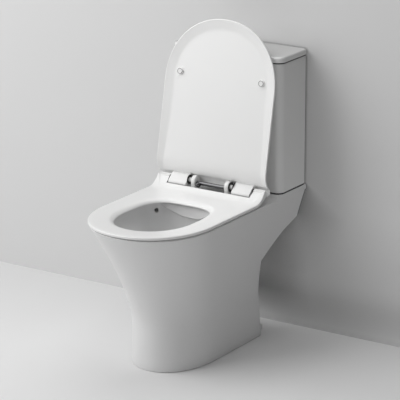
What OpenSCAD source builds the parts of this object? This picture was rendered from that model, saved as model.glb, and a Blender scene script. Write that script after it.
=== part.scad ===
/* [Overall] */
// Length from the front of the seat to the back of the cistern
total_len = 689; // [660:1:720]
// Height of the pan's rim above the floor
rim_h = 423; // [405:1:440]
// Rise of the cistern shelf above the rim
shelf_rise = 10; // [6:1:14]

/* [Pan] */
// Width of the pan at the rim
pan_w = 354; // [344:1:364]
// Width of the foot
foot_w = 228; // [210:1:240]
// Distance of the rim's front behind the seat's front
rim_set = 2; // [1:0.5:6]
// Distance of the foot's front behind the rim's front
foot_set = 146; // [120:1:160]
// Length of the rim's round front
rim_curve = 200; // [180:1:210]
// Length of the foot's round front
foot_curve = 165; // [150:1:180]
// Height at which the flare starts
flare_start = 130; // [100:1:160]
// Power of the flare's curve
flare_power = 1.4; // [1.2:0.05:1.8]
// Distance of the foot's back from the wall side
foot_back = 107; // [95:1:120]
// Distance of the pedestal's back wall from the wall side
pedestal_back = 134; // [125:1:145]
// Height at which the cheeks start to sweep back
sweep_start = 235; // [225:1:245]
// Height of the cheeks' lower corner at the wall side
cheek_h = 335; // [320:1:345]
// Thickness of the cheeks
cheek_t = 14; // [12:1:18]
// Thickness of the china walls
pan_wall = 12; // [10:1:14]
// Rounding of the rim's outer edge
rim_round = 7; // [4:0.5:9]
// Thickness of the shelf's plate
shelf_t = 14; // [12:1:16]
// Width that the shelf stands proud of the cistern on each side
shelf_over = 2.5; // [1:0.5:4]

/* [Bowl] */
// Width of the bowl at the rim
bowl_w = 262; // [250:1:270]
// Width of the rim's land at the front
bowl_land = 46; // [40:1:52]
// Length of the bowl at the rim
bowl_len = 336; // [320:1:345]
// Height of the sump's lowest point
sump_h = 118; // [110:1:126]
// Width of the sump at the bottom
sump_w = 64; // [56:1:72]
// Radius of the jet's hole
jet_r = 7; // [6:0.25:7.5]
// Height of the jet's hole
jet_h = 396; // [390:1:400]

/* [Outlet] */
// Height of the waste outlet's axis
outlet_h = 180; // [176:1:190]
// Outer radius of the waste spigot
outlet_r = 51; // [50:0.5:52]
// Bore radius of the waste spigot
outlet_bore = 42; // [40:0.5:44]
// Distance of the spigot's end from the wall side
outlet_gap = 55; // [50:1:58]
// Length of the spigot that is free for a connector
outlet_free = 60; // [56:1:61]
// Radius of the trapway
trap_r = 30; // [28:1:32]
// Height of the trapway's axis at the weir
weir_h = 262; // [255:1:268]

/* [Cistern] */
// Width of the cistern
tank_w = 360; // [350:1:364]
// Depth of the cistern's top
tank_d = 141; // [138:1:142]
// Depth that the front loses towards the bottom
tank_taper = 5; // [0:1:8]
// Height of the cistern without its lid
tank_h = 378; // [370:1:390]
// Thickness of the cistern's walls
tank_wall = 9; // [8:0.5:11]
// Thickness of the cistern's floor
tank_floor = 12; // [10:1:14]
// Radius of the cistern's front corners
tank_round = 22; // [16:1:26]
// Height of the cistern's lid
cap_h = 19; // [17:1:24]
// Overhang of the cistern's lid
cap_over = 2; // [1:0.5:3]
// Distance between the two coupling bolts
bolt_span = 160; // [150:1:170]

/* [Seat and lid] */
// Width of the seat
seat_w = 357; // [350:1:362]
// Thickness of the seat at its edge
seat_t = 8; // [7:0.5:10]
// Depth of the seat's inner edge
seat_lip = 11.5; // [10:0.5:12]
// Height of the buffers under the seat
seat_buffer = 4; // [3:0.5:5]
// Length of the seat's round front
seat_curve = 200; // [180:1:210]
// Width of the seat's opening
hole_w = 218; // [210:1:228]
// Length of the seat's opening
hole_len = 284; // [274:1:290]
// Distance from the seat's front to its opening
hole_set = 70.5; // [68:0.5:76]
// Rise of the seat at the hinge
ramp_h = 30; // [28:1:31]
// Rise of the seat's underside at the hinge
ramp_under = 19; // [17:1:20]
// Length over which the seat rises
ramp_len = 58; // [54:1:62]
// Width of the lid
lid_w = 363; // [358:1:366]
// Distance of the lid's front from the hinge
lid_reach = 464; // [455:1:472]
// Length of the lid's round front
lid_curve = 188; // [175:1:200]
// Thickness of the lid at its panel
lid_t = 4.5; // [4:0.5:5]
// Depth of the lid's dish
dish_d = 9; // [7:0.5:9]
// Width of the sloping band round the dish
dish_band = 28; // [22:1:32]
// Angle at which the lid stands open
lid_open = 101; // [98:0.5:101]
// Radius of the lid's buffers
buffer_r = 8; // [7:0.5:9]

/* [Hinge] */
// Distance of the hinge axis from the wall side
hinge_back = 211; // [209:1:214]
// Height of the hinge axis above the rim
hinge_rise = 35; // [34:0.5:36]
// Distance between the two fixing holes of the seat
hinge_span = 155; // [150:1:160]
// Distance between the inner faces of the two posts
post_gap = 98; // [94:1:100]
// Width of a post's knuckle
post_w = 18; // [17:0.5:19]
// Radius of a post's knuckle
post_r = 15.5; // [14.5:0.5:16]
// Length of a lid barrel
barrel_w = 61; // [58:1:62]
// Radius of the hinge axles
axle_r = 4; // [3.5:0.25:4.5]
// Radius of the release bar
bar_r = 5.5; // [5:0.25:5.75]
// Radius of the ball knob
knob_r = 6.5; // [6:0.25:6.75]
// Travel of the release bar
bar_travel = 2.5; // [1.5:0.5:2.5]

/* [Flush] */
// Radius of the flush valve's tail
tail_r = 28; // [26:0.5:29]
// Height of the flush valve's tower
tower_h = 220; // [200:1:240]
// Radius of the overflow tube
tube_r = 14; // [13:0.5:15]
// Lift of the flush valve
lift = 12; // [10:0.5:13]
// Distance of the fill valve from the cistern's side
fill_set = 68; // [66:1:70]
// Radius of the fill valve's threaded tail
inlet_r = 10.48; // [10.4:0.01:10.5]
// Radius of the fill valve's shank above its tail
shank_r = 11.5; // [11:0.25:12]
// Length of the fill valve's tail below the cistern
inlet_len = 52; // [48:1:58]
// Height of the fill valve above the cistern's floor
fill_h = 250; // [235:1:260]
// Radius of the float
float_r = 26; // [24:1:28]
// Height of the float
float_h = 62; // [55:1:66]
// Travel of the float
float_travel = 14; // [12:0.5:14]
// Radius of the button's ring
bezel_r = 30; // [28:0.5:32]
// Radius of the buttons
button_r = 21; // [20:0.5:22]
// Travel of the buttons
button_travel = 6; // [5:0.5:6]

/* [Clearances] */
// Gap between pieces that turn or slide past each other
gap = 0.3; // [0.2:0.05:0.4]
// Radial clearance of a shaft in its bore
running = 0.05; // [0.03:0.01:0.08]
// Radial clearance of a bolt in its hole
loose = 1; // [0.8:0.1:1.4]

/* [Hidden] */
$fn = 48;

// Main planes
back_y = total_len / 2;
front_y = -total_len / 2;
shelf_h = rim_h + shelf_rise;
hinge_y = back_y - hinge_back;
hinge_z = rim_h + hinge_rise;
seat_under = rim_h + seat_buffer;
seat_top = seat_under + seat_t;
pedestal_y = back_y - pedestal_back;
tank_y = back_y - tank_d / 2;
fill_x = tank_w / 2 - fill_set;
tank_top = shelf_h + tank_h;
floor_top = shelf_h + tank_floor;
cap_top = tank_top + cap_h;
eps = 0.01;

// Pan: the width, front and back of its outside at a height
round_power = 2.1;
front_steps = 30;
corner_steps = 3;
foot_round = 30;
shelf_round = 6;
function mix(a, b, t) = a + (b - a) * t;
function clamp01(t) = max(0, min(1, t));
function flare(z) = pow(clamp01((z - flare_start) / (rim_h - flare_start)), flare_power);
function sweep_part(z) = clamp01((cheek_h - z) / (cheek_h - sweep_start));
function pan_half(z) = mix(foot_w, pan_w, flare(z)) / 2;
function back_half(z) = pan_half(z) + (tank_w / 2 + shelf_over - pan_w / 2) * flare(z);
function pan_front(z) = mix(front_y + rim_set + foot_set, front_y + rim_set, flare(z));
function pan_curve(z) = mix(foot_curve, rim_curve, flare(z));
function stem_back(z) = back_y - mix(foot_back, pedestal_back, clamp01(z / sweep_start));
function pan_back(z) = z <= sweep_start ? stem_back(z)
    : back_y - pedestal_back * pow(sweep_part(z), 0.7);
function pan_corner(z) = mix(shelf_round, foot_round, sweep_part(z));

// A closed outline: a round front, straight sides and two rounded back corners
function bow(c, power = round_power) = sign(c) * pow(abs(c), 2 / power);
function front_points(half, front, curve) = [for (i = [0:front_steps])
    let (a = 180 - 180 * i / front_steps)
    [half * bow(cos(a)), front + curve - curve * bow(sin(a))]];
function corner_points(x, y, r, from) = [for (i = [0:corner_steps])
    let (a = from + 90 * i / corner_steps) [x + r * cos(a), y + r * sin(a)]];
function shell_outline(half, back_half, front, curve, back, r) = concat(
    front_points(half, front, curve),
    corner_points(back_half - r, back - r, r, 0),
    corner_points(r - back_half, back - r, r, 90));
function at_height(outline, z) = [for (p = outline) [p[0], p[1], z]];
function pan_ring(z, inset, back) = at_height(shell_outline(pan_half(z) - inset,
    back_half(z) - inset, pan_front(z) + inset, pan_curve(z), back - inset, pan_corner(z)), z);

// A closed surface through rings of points, each ring running anticlockwise
function band_faces(rings, n, wrap) = [for (i = [0:rings - (wrap ? 1 : 2)], j = [0:n - 1])
    let (a = i * n + j, b = ((i + 1) % rings) * n + j, c = ((i + 1) % rings) * n + (j + 1) % n,
        d = i * n + (j + 1) % n)
    each [[a, b, c], [a, c, d]]];
module skin(rings) {
    n = len(rings[0]);
    last = (len(rings) - 1) * n;
    caps = [[for (j = [0:n - 1]) j], [for (j = [n - 1:-1:0]) last + j]];
    polyhedron(points = [for (r = rings) each r],
        faces = concat(caps, band_faces(len(rings), n, false)), convexity = 10);
}
module ring_skin(sections) {
    polyhedron(points = [for (s = sections) each s],
        faces = band_faces(len(sections), len(sections[0]), true), convexity = 10);
}

// A tube whose axis is a route of points in the middle plane
function turned(d) = [-d[1], d[0]] / norm(d);
function route_dir(route, i) = route[min(i + 1, len(route) - 1)] - route[max(i - 1, 0)];
tube_sides = 16;
function tube_rings(route, r) = [for (i = [0:len(route) - 1])
    let (side = turned(route_dir(route, i)))
    [for (j = [0:tube_sides - 1]) let (a = 360 * j / tube_sides)
        [r * cos(a), route[i][0] + r * sin(a) * side[0], route[i][1] + r * sin(a) * side[1]]]];
module tube(route, r) {
    rings = tube_rings(route, r);
    skin([for (i = [len(rings) - 1:-1:0]) rings[i]]);
}
module mirrored() {
    children();
    mirror([1, 0, 0]) children();
}
module along_x(x) {
    translate([x, hinge_y, hinge_z]) rotate([0, 90, 0]) children();
}

// Pan: heights at which its outside has a ring
stem_levels = [0, 0.3, 0.65, 1] * flare_start;
waist_levels = [for (t = [0.35, 0.7, 1]) mix(flare_start, sweep_start, t)];
sweep_levels = [for (t = [0.72, 0.5, 0.32, 0.18, 0.08, 0.02, 0]) mix(cheek_h, sweep_start, t)];
upper_levels = [for (t = [0.35, 0.7, 1]) mix(cheek_h, rim_h - rim_round, t)];
wall_levels = concat(stem_levels, waist_levels, sweep_levels, upper_levels);
edge_angles = [30, 60, 90];

// Bowl: its outline at a height, grown outwards by the wall on its outside
bowl_power = 2.2;
bowl_front = front_y + rim_set + bowl_land;
bowl_back = bowl_front + bowl_len;
bowl_mid = bowl_back - 96;
sump_front = bowl_mid - 40;
sump_back = bowl_mid + 46;
bowl_steps = 36;
function bowl_t(z) = clamp01((z - sump_h) / (rim_h - sump_h));
function bowl_bow(c) = sign(c) * pow(abs(c), 2 / bowl_power);
function bowl_ring(z, level, grow) = [for (i = [0:bowl_steps - 1])
    let (a = 360 * i / bowl_steps, t = bowl_t(z), s = bowl_bow(sin(a)),
        half = mix(sump_w / 2, bowl_w / 2, pow(t, 0.45)) + grow,
        front = bowl_mid - mix(sump_front, bowl_front, pow(t, 0.62)) + grow,
        rear = mix(sump_back, bowl_back, pow(t, 0.55)) - bowl_mid + grow)
    [half * bowl_bow(cos(a)), bowl_mid + (s < 0 ? front : rear) * s, level]];
bowl_levels = [0, 0.02, 0.07, 0.15, 0.27, 0.42, 0.6, 0.8, 0.93];

// Waste way: from the sump up over the weir and down to the spigot, in three bends
trap_wall = 8;
trap_bend = trap_r + trap_wall + 10;
trap_low = sump_h + trap_r + 2;
climb = 60;
fall = 80;
drop_y = pedestal_y - 6;
weir_y = drop_y - bend_run(weir_h - outlet_h, fall);
climb_y = weir_y - bend_run(weir_h - trap_low, climb);
function bend_run(rise, slope) =
    2 * trap_bend * sin(slope) + (rise - 2 * trap_bend * (1 - cos(slope))) / tan(slope);
function bend_points(y, z, from, to, steps) = [for (i = [0:steps])
    let (a = mix(from, to, i / steps)) [y + trap_bend * cos(a), z + trap_bend * sin(a)]];
trap_route = concat([[bowl_mid - 12, trap_low]],
    bend_points(climb_y, trap_low + trap_bend, -90, climb - 90, 4),
    bend_points(weir_y, weir_h - trap_bend, 90 + climb, 90 - fall, 8),
    bend_points(drop_y, outlet_h + trap_bend, 270 - fall, 270, 5),
    [[pedestal_y, outlet_h]]);

// Flush way: straight down from the shelf, forward to a chamber behind the bowl, and out by a low slot
flush_r = 26;
flush_h = 381;
flush_wall = 9;
flush_floor = 3;
chamber_y = bowl_back + 10;
chamber_d = 26;
slot_w = 56;
slot_h = 14;
slot_low = 334;
inlet_funnel_r = 31;
gasket_hole_r = 45;
fill_hole_r = 22;

// Jet: the point on the bowl's wall and the way of its bore
jet_x = -103;
jet_y = bowl_back - 34;
jet_turn = 128;
jet_depth = 26;
jet_feed = [-8, bowl_back + 78];
jet_feed_r = 5;
jet_wall = 5;

// Fixings of the pan
stud_r = 3;
plug_hole_r = 7;
plug_boss_r = 17;
plug_boss_h = 44;
bolt_r = 4;
lug_x = 70;
lug_reach = 36;
lug_w = 34;
lug_h = 16;
lug_hole_r = 4.5;

module pan_outside() {
    edge = [for (a = edge_angles) let (z = rim_h - rim_round + rim_round * sin(a))
        pan_ring(z, rim_round * (1 - cos(a)), back_y)];
    skin(concat([for (z = wall_levels) pan_ring(z, 0, pan_back(z))], edge));
}
module pan_hollow() {
    low = -1;
    levels = concat([low], [for (z = wall_levels) if (z > 0) z]);
    skin([for (z = levels) pan_ring(min(z, rim_h - pan_wall), pan_wall,
        min(pan_back(z), pedestal_y))]);
}
module shelf_block() {
    front = tank_y - tank_d / 2 - 6;
    half = tank_w / 2 + shelf_over;
    slope = 8;
    low = rim_h - rim_round;
    skin([for (s = [[low, slope + rim_round, -1], [shelf_h - 2, 0, 0], [shelf_h, 2, 0]])
        let (x = half - max(0, s[1] > 2 ? 2 : s[1]), y = front - (s[2] < 0 ? s[1] : -s[1]))
        [[-x, y, s[0]], [x, y, s[0]], [x, back_y, s[0]], [-x, back_y, s[0]]]]);
}
module shelf_recess() {
    top = shelf_h - shelf_t;
    skin([for (z = [sweep_start, mix(sweep_start, top, 0.5), top])
        let (x = back_half(min(z, rim_h)) - cheek_t)
        [[-x, pedestal_y, z], [x, pedestal_y, z], [x, back_y + 1, z], [-x, back_y + 1, z]]]);
}
module flush_way(grow) {
    low = flush_h - flush_r - grow - flush_floor;
    translate([0, tank_y, low]) cylinder(r = inlet_funnel_r + grow, h = shelf_h - shelf_t - low + 1);
    translate([0, chamber_y - grow, flush_h]) rotate([-90, 0, 0])
        cylinder(r = flush_r + grow, h = tank_y - chamber_y + grow);
    translate([-slot_w / 2 - grow, chamber_y - grow, slot_low - grow])
        cube([slot_w + 2 * grow, chamber_d + 2 * grow, flush_h - slot_low + grow]);
}
module flush_slot() {
    translate([-slot_w / 2, bowl_back - 20, slot_low]) cube([slot_w, chamber_y - bowl_back + 21, slot_h]);
}
module gasket_seat(grow) {
    translate([0, tank_y, shelf_h - shelf_t - grow])
        cylinder(r = gasket_hole_r + grow, h = shelf_t + grow + (grow > 0 ? -2 : 2));
}
module jet_way(grow) {
    tip = [jet_x - jet_depth * sin(jet_turn - 90), jet_y + jet_depth * cos(jet_turn - 90)];
    run = jet_feed - tip;
    translate([jet_x, jet_y, jet_h]) rotate([0, 0, jet_turn]) rotate([0, 90, 0])
        translate([0, 0, -12]) cylinder(r = jet_r + grow, h = jet_depth + jet_r + 12);
    translate([tip[0], tip[1], jet_h]) rotate([0, 0, atan2(run[1], run[0])]) rotate([0, 90, 0])
        cylinder(r = jet_feed_r + grow, h = norm(run));
}
module spigot(root) {
    collar_t = 3;
    reach = back_y - outlet_gap - pedestal_y + root;
    translate([0, pedestal_y - root, outlet_h]) rotate([-90, 0, 0]) {
        cylinder(r = outlet_r, h = reach);
        cylinder(r = outlet_r + collar_t, h = reach - outlet_free);
    }
}
module plug_bosses() {
    mirrored() translate([hinge_span / 2, hinge_y, rim_h - plug_boss_h])
        cylinder(r = plug_boss_r, h = plug_boss_h - 1);
}
module foot_lugs() {
    y = stem_back(0) - foot_round;
    mirrored() difference() {
        translate([lug_x - lug_w / 2, y, 0]) cube([lug_w, foot_round + lug_reach, lug_h]);
        translate([lug_x, stem_back(0) + lug_reach / 2, -1]) cylinder(r = lug_hole_r, h = lug_h + 2);
    }
}
module bowl_wall() {
    skin(concat([for (t = bowl_levels) bowl_ring(mix(sump_h, rim_h, t),
        mix(sump_h, rim_h, t) - pan_wall * (1 - t), pan_wall)],
        [bowl_ring(rim_h, rim_h + 2, pan_wall)]));
}
module bowl_space() {
    skin(concat([for (t = bowl_levels) bowl_ring(mix(sump_h, rim_h, t), mix(sump_h, rim_h, t), 0)],
        [bowl_ring(rim_h, rim_h + 1, 0)]));
}
module pan_voids() {
    spigot_root = 40;
    difference() {
        union() {
            pan_hollow();
            shelf_recess();
        }
        bowl_wall();
        tube(trap_route, trap_r + trap_wall);
        spigot(spigot_root);
        flush_way(flush_wall);
        gasket_seat(flush_wall);
        jet_way(jet_wall);
        plug_bosses();
    }
}
module pan_china() {
    plug_floor = 6;
    outlet_depth = 26;
    difference() {
        union() {
            pan_outside();
            shelf_block();
            spigot(pan_wall / 2);
            foot_lugs();
        }
        pan_voids();
        bowl_space();
        tube(trap_route, trap_r);
        translate([0, pedestal_y - outlet_depth, outlet_h]) rotate([-90, 0, 0])
            cylinder(r = outlet_bore, h = total_len);
        flush_way(0);
        flush_slot();
        gasket_seat(0);
        jet_way(0);
        mirrored() {
            translate([hinge_span / 2, hinge_y, rim_h - plug_boss_h + plug_floor])
                cylinder(r = plug_hole_r, h = plug_boss_h);
            translate([bolt_span / 2, tank_y, shelf_h - shelf_t - 1])
                cylinder(r = bolt_r + 2 * loose, h = shelf_t + 2);
        }
        translate([fill_x, tank_y, shelf_h - shelf_t - 1]) cylinder(r = fill_hole_r, h = shelf_t + 2);
    }
}

// The pan is one casting, parted here on two planes into bowl, shelf and foot
seam_y = chamber_y + 3.5;
seam_z = rim_h * 0.72;
module pan_bowl() {
    color("white") intersection() {
        pan_china();
        translate([-total_len, -total_len, seam_z]) cube([2 * total_len, total_len + seam_y, total_len]);
    }
}
module pan_shelf() {
    color("white") intersection() {
        pan_china();
        translate([-total_len, seam_y, seam_z]) cube([2 * total_len, total_len, total_len]);
    }
}
module pan_foot() {
    color("white") intersection() {
        pan_china();
        translate([-total_len, -total_len, -1]) cube([2 * total_len, 2 * total_len, seam_z + 1]);
    }
}
module jet_nozzle() {
    nozzle_wall = 1.5;
    color("gainsboro") translate([jet_x, jet_y, jet_h]) rotate([0, 0, jet_turn])
        rotate([0, 90, 0]) translate([0, 0, 1]) difference() {
            cylinder(r = jet_r - running, h = jet_depth / 2);
            translate([0, 0, -1]) cylinder(r = jet_r - nozzle_wall, h = jet_depth);
        }
}

// Cistern: its outline at a height
back_round = 8;
function tank_front(h) = back_y - tank_d + tank_taper * (1 - h / tank_h);
function round_corner(x, y, r, from) = [for (i = [0:6])
    let (a = from + 15 * i) [x + r * cos(a), y + r * sin(a)]];
function box_outline(half, front, back, r, rb) = concat(
    round_corner(r - half, front + r, r, 180), round_corner(half - r, front + r, r, 270),
    round_corner(half - rb, back - rb, rb, 0), round_corner(rb - half, back - rb, rb, 90));
function tank_ring(h, inset) = at_height(box_outline(tank_w / 2 - inset, tank_front(h) + inset,
    back_y - inset, tank_round - min(inset, tank_round - 2),
    back_round - min(inset, back_round - 2)), shelf_h + h);
module cistern_tank() {
    foot_inset = 2;
    color("white") difference() {
        skin([tank_ring(0, foot_inset), tank_ring(3, 0), tank_ring(tank_h, 0)]);
        skin([tank_ring(tank_floor, tank_wall), tank_ring(tank_h + 1, tank_wall)]);
        translate([0, tank_y, shelf_h - 1]) cylinder(r = tail_r + loose, h = tank_floor + 2);
        translate([fill_x, tank_y, shelf_h - 1]) cylinder(r = shank_r + loose, h = tank_floor + 2);
        mirrored() translate([bolt_span / 2, tank_y, shelf_h - 1])
            cylinder(r = bolt_r + loose, h = tank_floor + 2);
    }
}
function cap_ring(z, inset) = at_height(box_outline(tank_w / 2 + cap_over - inset,
    back_y - tank_d - cap_over + inset, back_y - min(inset, 4), tank_round + cap_over,
    back_round), z);
cap_lip = 8;
cap_shell = 7;
module cistern_lid() {
    edge = 6;
    hollow = tank_wall + 12;
    color("white") difference() {
        union() {
            skin([cap_ring(tank_top, 1.5), cap_ring(tank_top + 1.5, 0), cap_ring(cap_top - edge, 0),
                cap_ring(cap_top - edge * 0.5, edge * 0.134), cap_ring(cap_top - edge * 0.134, edge * 0.5),
                cap_ring(cap_top, edge)]);
            skin([for (z = [-cap_lip, 0.5]) at_height(box_outline(tank_w / 2 - tank_wall - 2,
                back_y - tank_d + tank_wall + 2, back_y - tank_wall - 2, 10, 4), tank_top + z)]);
        }
        skin([for (z = [-cap_lip - 1, cap_h - cap_shell]) at_height(box_outline(
            tank_w / 2 - hollow, back_y - tank_d + hollow, back_y - hollow, 6, 4), tank_top + z)]);
        translate([0, tank_y, tank_top]) cylinder(r = button_r + 3 + loose, h = cap_h + 1);
    }
}

// Coupling of the cistern to the pan
nut_r = tail_r + 9;
module coupling_gasket() {
    color("dimgray") translate([0, tank_y, shelf_h - shelf_t + 1]) difference() {
        cylinder(r = gasket_hole_r - gap, h = shelf_t - 1 - gap);
        translate([0, 0, -1]) cylinder(r = nut_r + gap, h = shelf_t + 1);
    }
}
bolt_low = shelf_h - shelf_t - 34;
seal_h = 5;
seal_r = 3 * bolt_r;
plate_r = 3.5 * bolt_r;
plate_h = 2.5;
plate_low = shelf_h - shelf_t - gap - seal_h - plate_h;
wing_h = 10;
module at_bolts(z) {
    mirrored() translate([bolt_span / 2, tank_y, z]) children();
}
module coupling_bolts() {
    head_h = 5;
    color("silver") at_bolts(bolt_low) {
        cylinder(r = bolt_r, h = floor_top + seal_h - bolt_low + 1);
        translate([0, 0, floor_top + seal_h - bolt_low]) cylinder(r = 2 * bolt_r, h = head_h);
    }
}
module washer(r, bore, h) {
    difference() {
        cylinder(r = r, h = h);
        translate([0, 0, -1]) cylinder(r = bore, h = h + 2);
    }
}
module bolt_seals() {
    color("dimgray") {
        at_bolts(floor_top) washer(seal_r, bolt_r + running, seal_h);
        at_bolts(plate_low + plate_h) washer(plate_r, bolt_r + running, seal_h);
    }
}
module bolt_plates() {
    color("silver") at_bolts(plate_low) washer(plate_r, bolt_r + running, plate_h);
}
module coupling_wing_nuts() {
    wing_w = 30;
    wing_t = 4;
    color("gold") at_bolts(plate_low - wing_h) difference() {
        union() {
            cylinder(r = 2 * bolt_r, h = wing_h);
            translate([-wing_w / 2, -wing_t / 2, 0]) cube([wing_w, wing_t, wing_h * 0.8]);
        }
        translate([0, 0, -1]) cylinder(r = bolt_r + running, h = wing_h + 2);
    }
}

// Seat hinge: places along its axis, from the middle outwards
post_in = post_gap / 2;
post_out = post_in + post_w;
barrel_in = post_out + 9;
barrel_out = barrel_in + barrel_w;
ear_in = barrel_out + 2 * gap;
axle_in = post_out - 8.5;
axle_out = ear_in + 34;
pad_h = 1.5;
foot_t = 5.5;
foot_r = 15;
spacer_t = 3.5;
bar_drop = 4.5;
bar_set = 1.5;
bar_left = post_in + 2.8;
bar_right = post_in + 7;
module hinge_post() {
    base_z = rim_h + pad_h;
    difference() {
        union() {
            along_x(post_in) cylinder(r = post_r, h = post_w);
            translate([post_in, hinge_y - post_r + 2, base_z])
                cube([post_w, 2 * post_r - 4, hinge_z - base_z]);
            translate([hinge_span / 2, hinge_y, base_z]) cylinder(r = foot_r, h = foot_t);
            translate([post_in, hinge_y - foot_r, base_z])
                cube([hinge_span / 2 - post_in, 2 * foot_r, foot_t]);
        }
        along_x(axle_in - eps) cylinder(r = axle_r + running, h = post_w);
        translate([0, -bar_set, -bar_drop]) along_x(post_in - 1)
            cylinder(r = bar_r + running, h = bar_right - post_in + 1.5);
        translate([hinge_span / 2, hinge_y, base_z - 1])
            cylinder(r = stud_r + running, h = foot_t + 2);
    }
}
module hinge_post_right() {
    color("white") hinge_post();
}
module hinge_post_left() {
    color("white") mirror([1, 0, 0]) hinge_post();
}
module hinge_pads() {
    color("gray") mirrored() translate([hinge_span / 2, hinge_y, rim_h])
        washer(foot_r - 1, stud_r + running, pad_h);
}
stud_low = rim_h - plug_boss_h + 10;
module hinge_studs() {
    color("silver") mirrored() translate([hinge_span / 2, hinge_y, 0]) {
        translate([0, 0, stud_low]) cylinder(r = stud_r, h = rim_h + pad_h + foot_t - stud_low + 1);
        translate([0, 0, rim_h + pad_h + foot_t]) cylinder(r = 2 * stud_r, h = 2);
        translate([0, 0, stud_low - 3]) cylinder(r = 2 * stud_r - gap, h = 4);
    }
}
module expanding_plugs() {
    color("dimgray") mirrored() translate([hinge_span / 2, hinge_y, stud_low + 1])
        washer(plug_hole_r - running, stud_r + running, rim_h - stud_low - 1);
}
module hinge_axles() {
    color("silver") mirrored() along_x(axle_in) cylinder(r = axle_r, h = axle_out - axle_in);
}
module axle_spacers() {
    color("whitesmoke") mirrored() along_x(post_out + gap)
        washer(axle_r + spacer_t, axle_r + running, barrel_in - post_out - 2 * gap);
}
module release_bar() {
    color("silver") translate([0, -bar_set, -bar_drop]) along_x(-bar_left)
        cylinder(r = bar_r, h = bar_left + bar_right);
}
knob_x = -(post_in - bar_travel - 0.5 - knob_r);
module ball_knob() {
    color("silver") translate([0, -bar_set, -bar_drop]) along_x(knob_x) difference() {
        sphere(r = knob_r);
        translate([0, 0, -2 * knob_r]) cylinder(r = bar_r, h = 4 * knob_r);
    }
}

// Seat: the rise of its top and underside near the hinge, by the distance from the hinge
function ramp(d, h) = h * pow(clamp01((ramp_len - d) / (ramp_len - ramp_full)), 2.5);
ear_back = 7;
ear_round = 9;
notch_d = 22.5;
bush_t = 1;
rear_steps = 5;
ramp_full = 5;
ramp_marks = [1, 0.8, 0.62, 0.46, 0.34, 0.22];
function line_points(a, b, n) = [for (i = [1:n]) mix(a, b, i / (n + 1))];
function side_points(x, y) = concat(line_points([x, y], [x, hinge_y - ramp_len], 3),
    [for (t = ramp_marks) [x, hinge_y - t * ramp_len]], [[x, hinge_y - ramp_full]]);
function flipped(points) = [for (i = [len(points) - 1:-1:0]) [-points[i][0], points[i][1]]];
seat_half = seat_w / 2;
seat_back = hinge_y + ear_back;
seat_side_y = front_y + seat_curve;
seat_corner = corner_points(seat_half - ear_round, seat_back - ear_round, ear_round, 0);
seat_side = side_points(seat_half, seat_side_y);
seat_rest = concat(seat_side, seat_corner,
    line_points([seat_half - ear_round, seat_back], [ear_round - seat_half, seat_back], rear_steps),
    corner_points(ear_round - seat_half, seat_back - ear_round, ear_round, 90),
    flipped(seat_side));
seat_outer = concat(front_points(seat_half, front_y, seat_curve), seat_rest);
hole_front = front_y + hole_set;
front_share = 0.475;
back_power = 3.4;
hole_count = len(seat_rest) + 1;
function hole_point(a) = let (front = sin(a) < 0, power = front ? round_power : back_power,
    reach = hole_len * (front ? front_share : 1 - front_share))
    [hole_w / 2 * bow(cos(a), power), hole_front + hole_len * front_share + reach * bow(sin(a), power)];
seat_inner = concat([for (i = [0:front_steps]) hole_point(180 + 180 * i / front_steps)],
    [for (j = [1:len(seat_rest)]) hole_point(180 * j / hole_count)]);
// Each point of the seat's section: distance from the outer or the inner edge, share of the
// width between them, depth under the top, and whether it rises with the underside
seat_section = [[0, 0, 0, 4, 0.5], [1.2, 0, 0, 1.2, 0], [4, 0, 0, 0, 0], [0, 0, 0.28, 0, 0],
    [0, 0, 0.42, 0, 0], [0, 0, 0.56, 0, 0], [0, 14, 1, 0, 0], [0, 7, 1, 1, 0], [0, 2.5, 1, 3.5, 0],
    [0, 0.6, 1, 7, 0], [0, 0, 1, seat_lip - 2, 0.5], [0, 2, 1, seat_lip, 1], [0, 9, 1, seat_lip, 1],
    [0, 12, 1, seat_t, 1], [0, 0, 0.56, seat_t, 1], [0, 0, 0.42, seat_t, 1],
    [0, 0, 0.28, seat_t, 1], [4, 0, 0, seat_t, 1], [1.2, 0, 0, seat_t - 1.2, 1]];
function seat_point(o, i, s) =
    let (dir = (i - o) / norm(i - o), p = mix(o, i, s[2]) + dir * (s[0] - s[1]), d = hinge_y - p[1])
    [p[0], p[1], seat_top - s[3] + mix(ramp(d, ramp_h), ramp(d, ramp_under), s[4])];
module seat_ring() {
    sections = [for (k = [0:len(seat_outer) - 1])
        [for (s = seat_section) seat_point(seat_outer[k], seat_inner[k], s)]];
    color("white") difference() {
        ring_skin(sections);
        translate([-ear_in, hinge_y - notch_d, seat_under - 10])
            cube([2 * ear_in, total_len, ramp_h + 40]);
        mirrored() along_x(ear_in - 1) cylinder(r = axle_r + bush_t, h = axle_out - ear_in + 1.5);
    }
}
buffer_x = 146;
module seat_buffers() {
    color("whitesmoke") mirrored() for (y = [hole_front + 20, hinge_y - ramp_len - 20])
        translate([buffer_x - (y < hole_front + 30 ? 42 : 0), y, rim_h])
            cylinder(r = buffer_r - 1, h = seat_buffer);
}
module seat_bushes() {
    color("gainsboro") mirrored() along_x(ear_in)
        washer(axle_r + bush_t, axle_r + running, axle_out - ear_in);
}

// Lid: built shut, then turned open about the hinge
lid_lip = seat_top + seat_buffer + gap;
lid_half = lid_w / 2;
lid_front = hinge_y - lid_reach;
lid_back = hinge_y + 10;
lid_mid = [0, hinge_y - lid_reach * 0.5];
lid_rise_len = 150;
lid_side = side_points(lid_half, lid_front + lid_curve);
lid_outline = concat(front_points(lid_half, lid_front, lid_curve), lid_side,
    corner_points(lid_half - ear_round, lid_back - ear_round, ear_round, 0),
    line_points([lid_half - ear_round, lid_back], [ear_round - lid_half, lid_back], 5),
    corner_points(ear_round - lid_half, lid_back - ear_round, ear_round, 90),
    flipped(lid_side));
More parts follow.
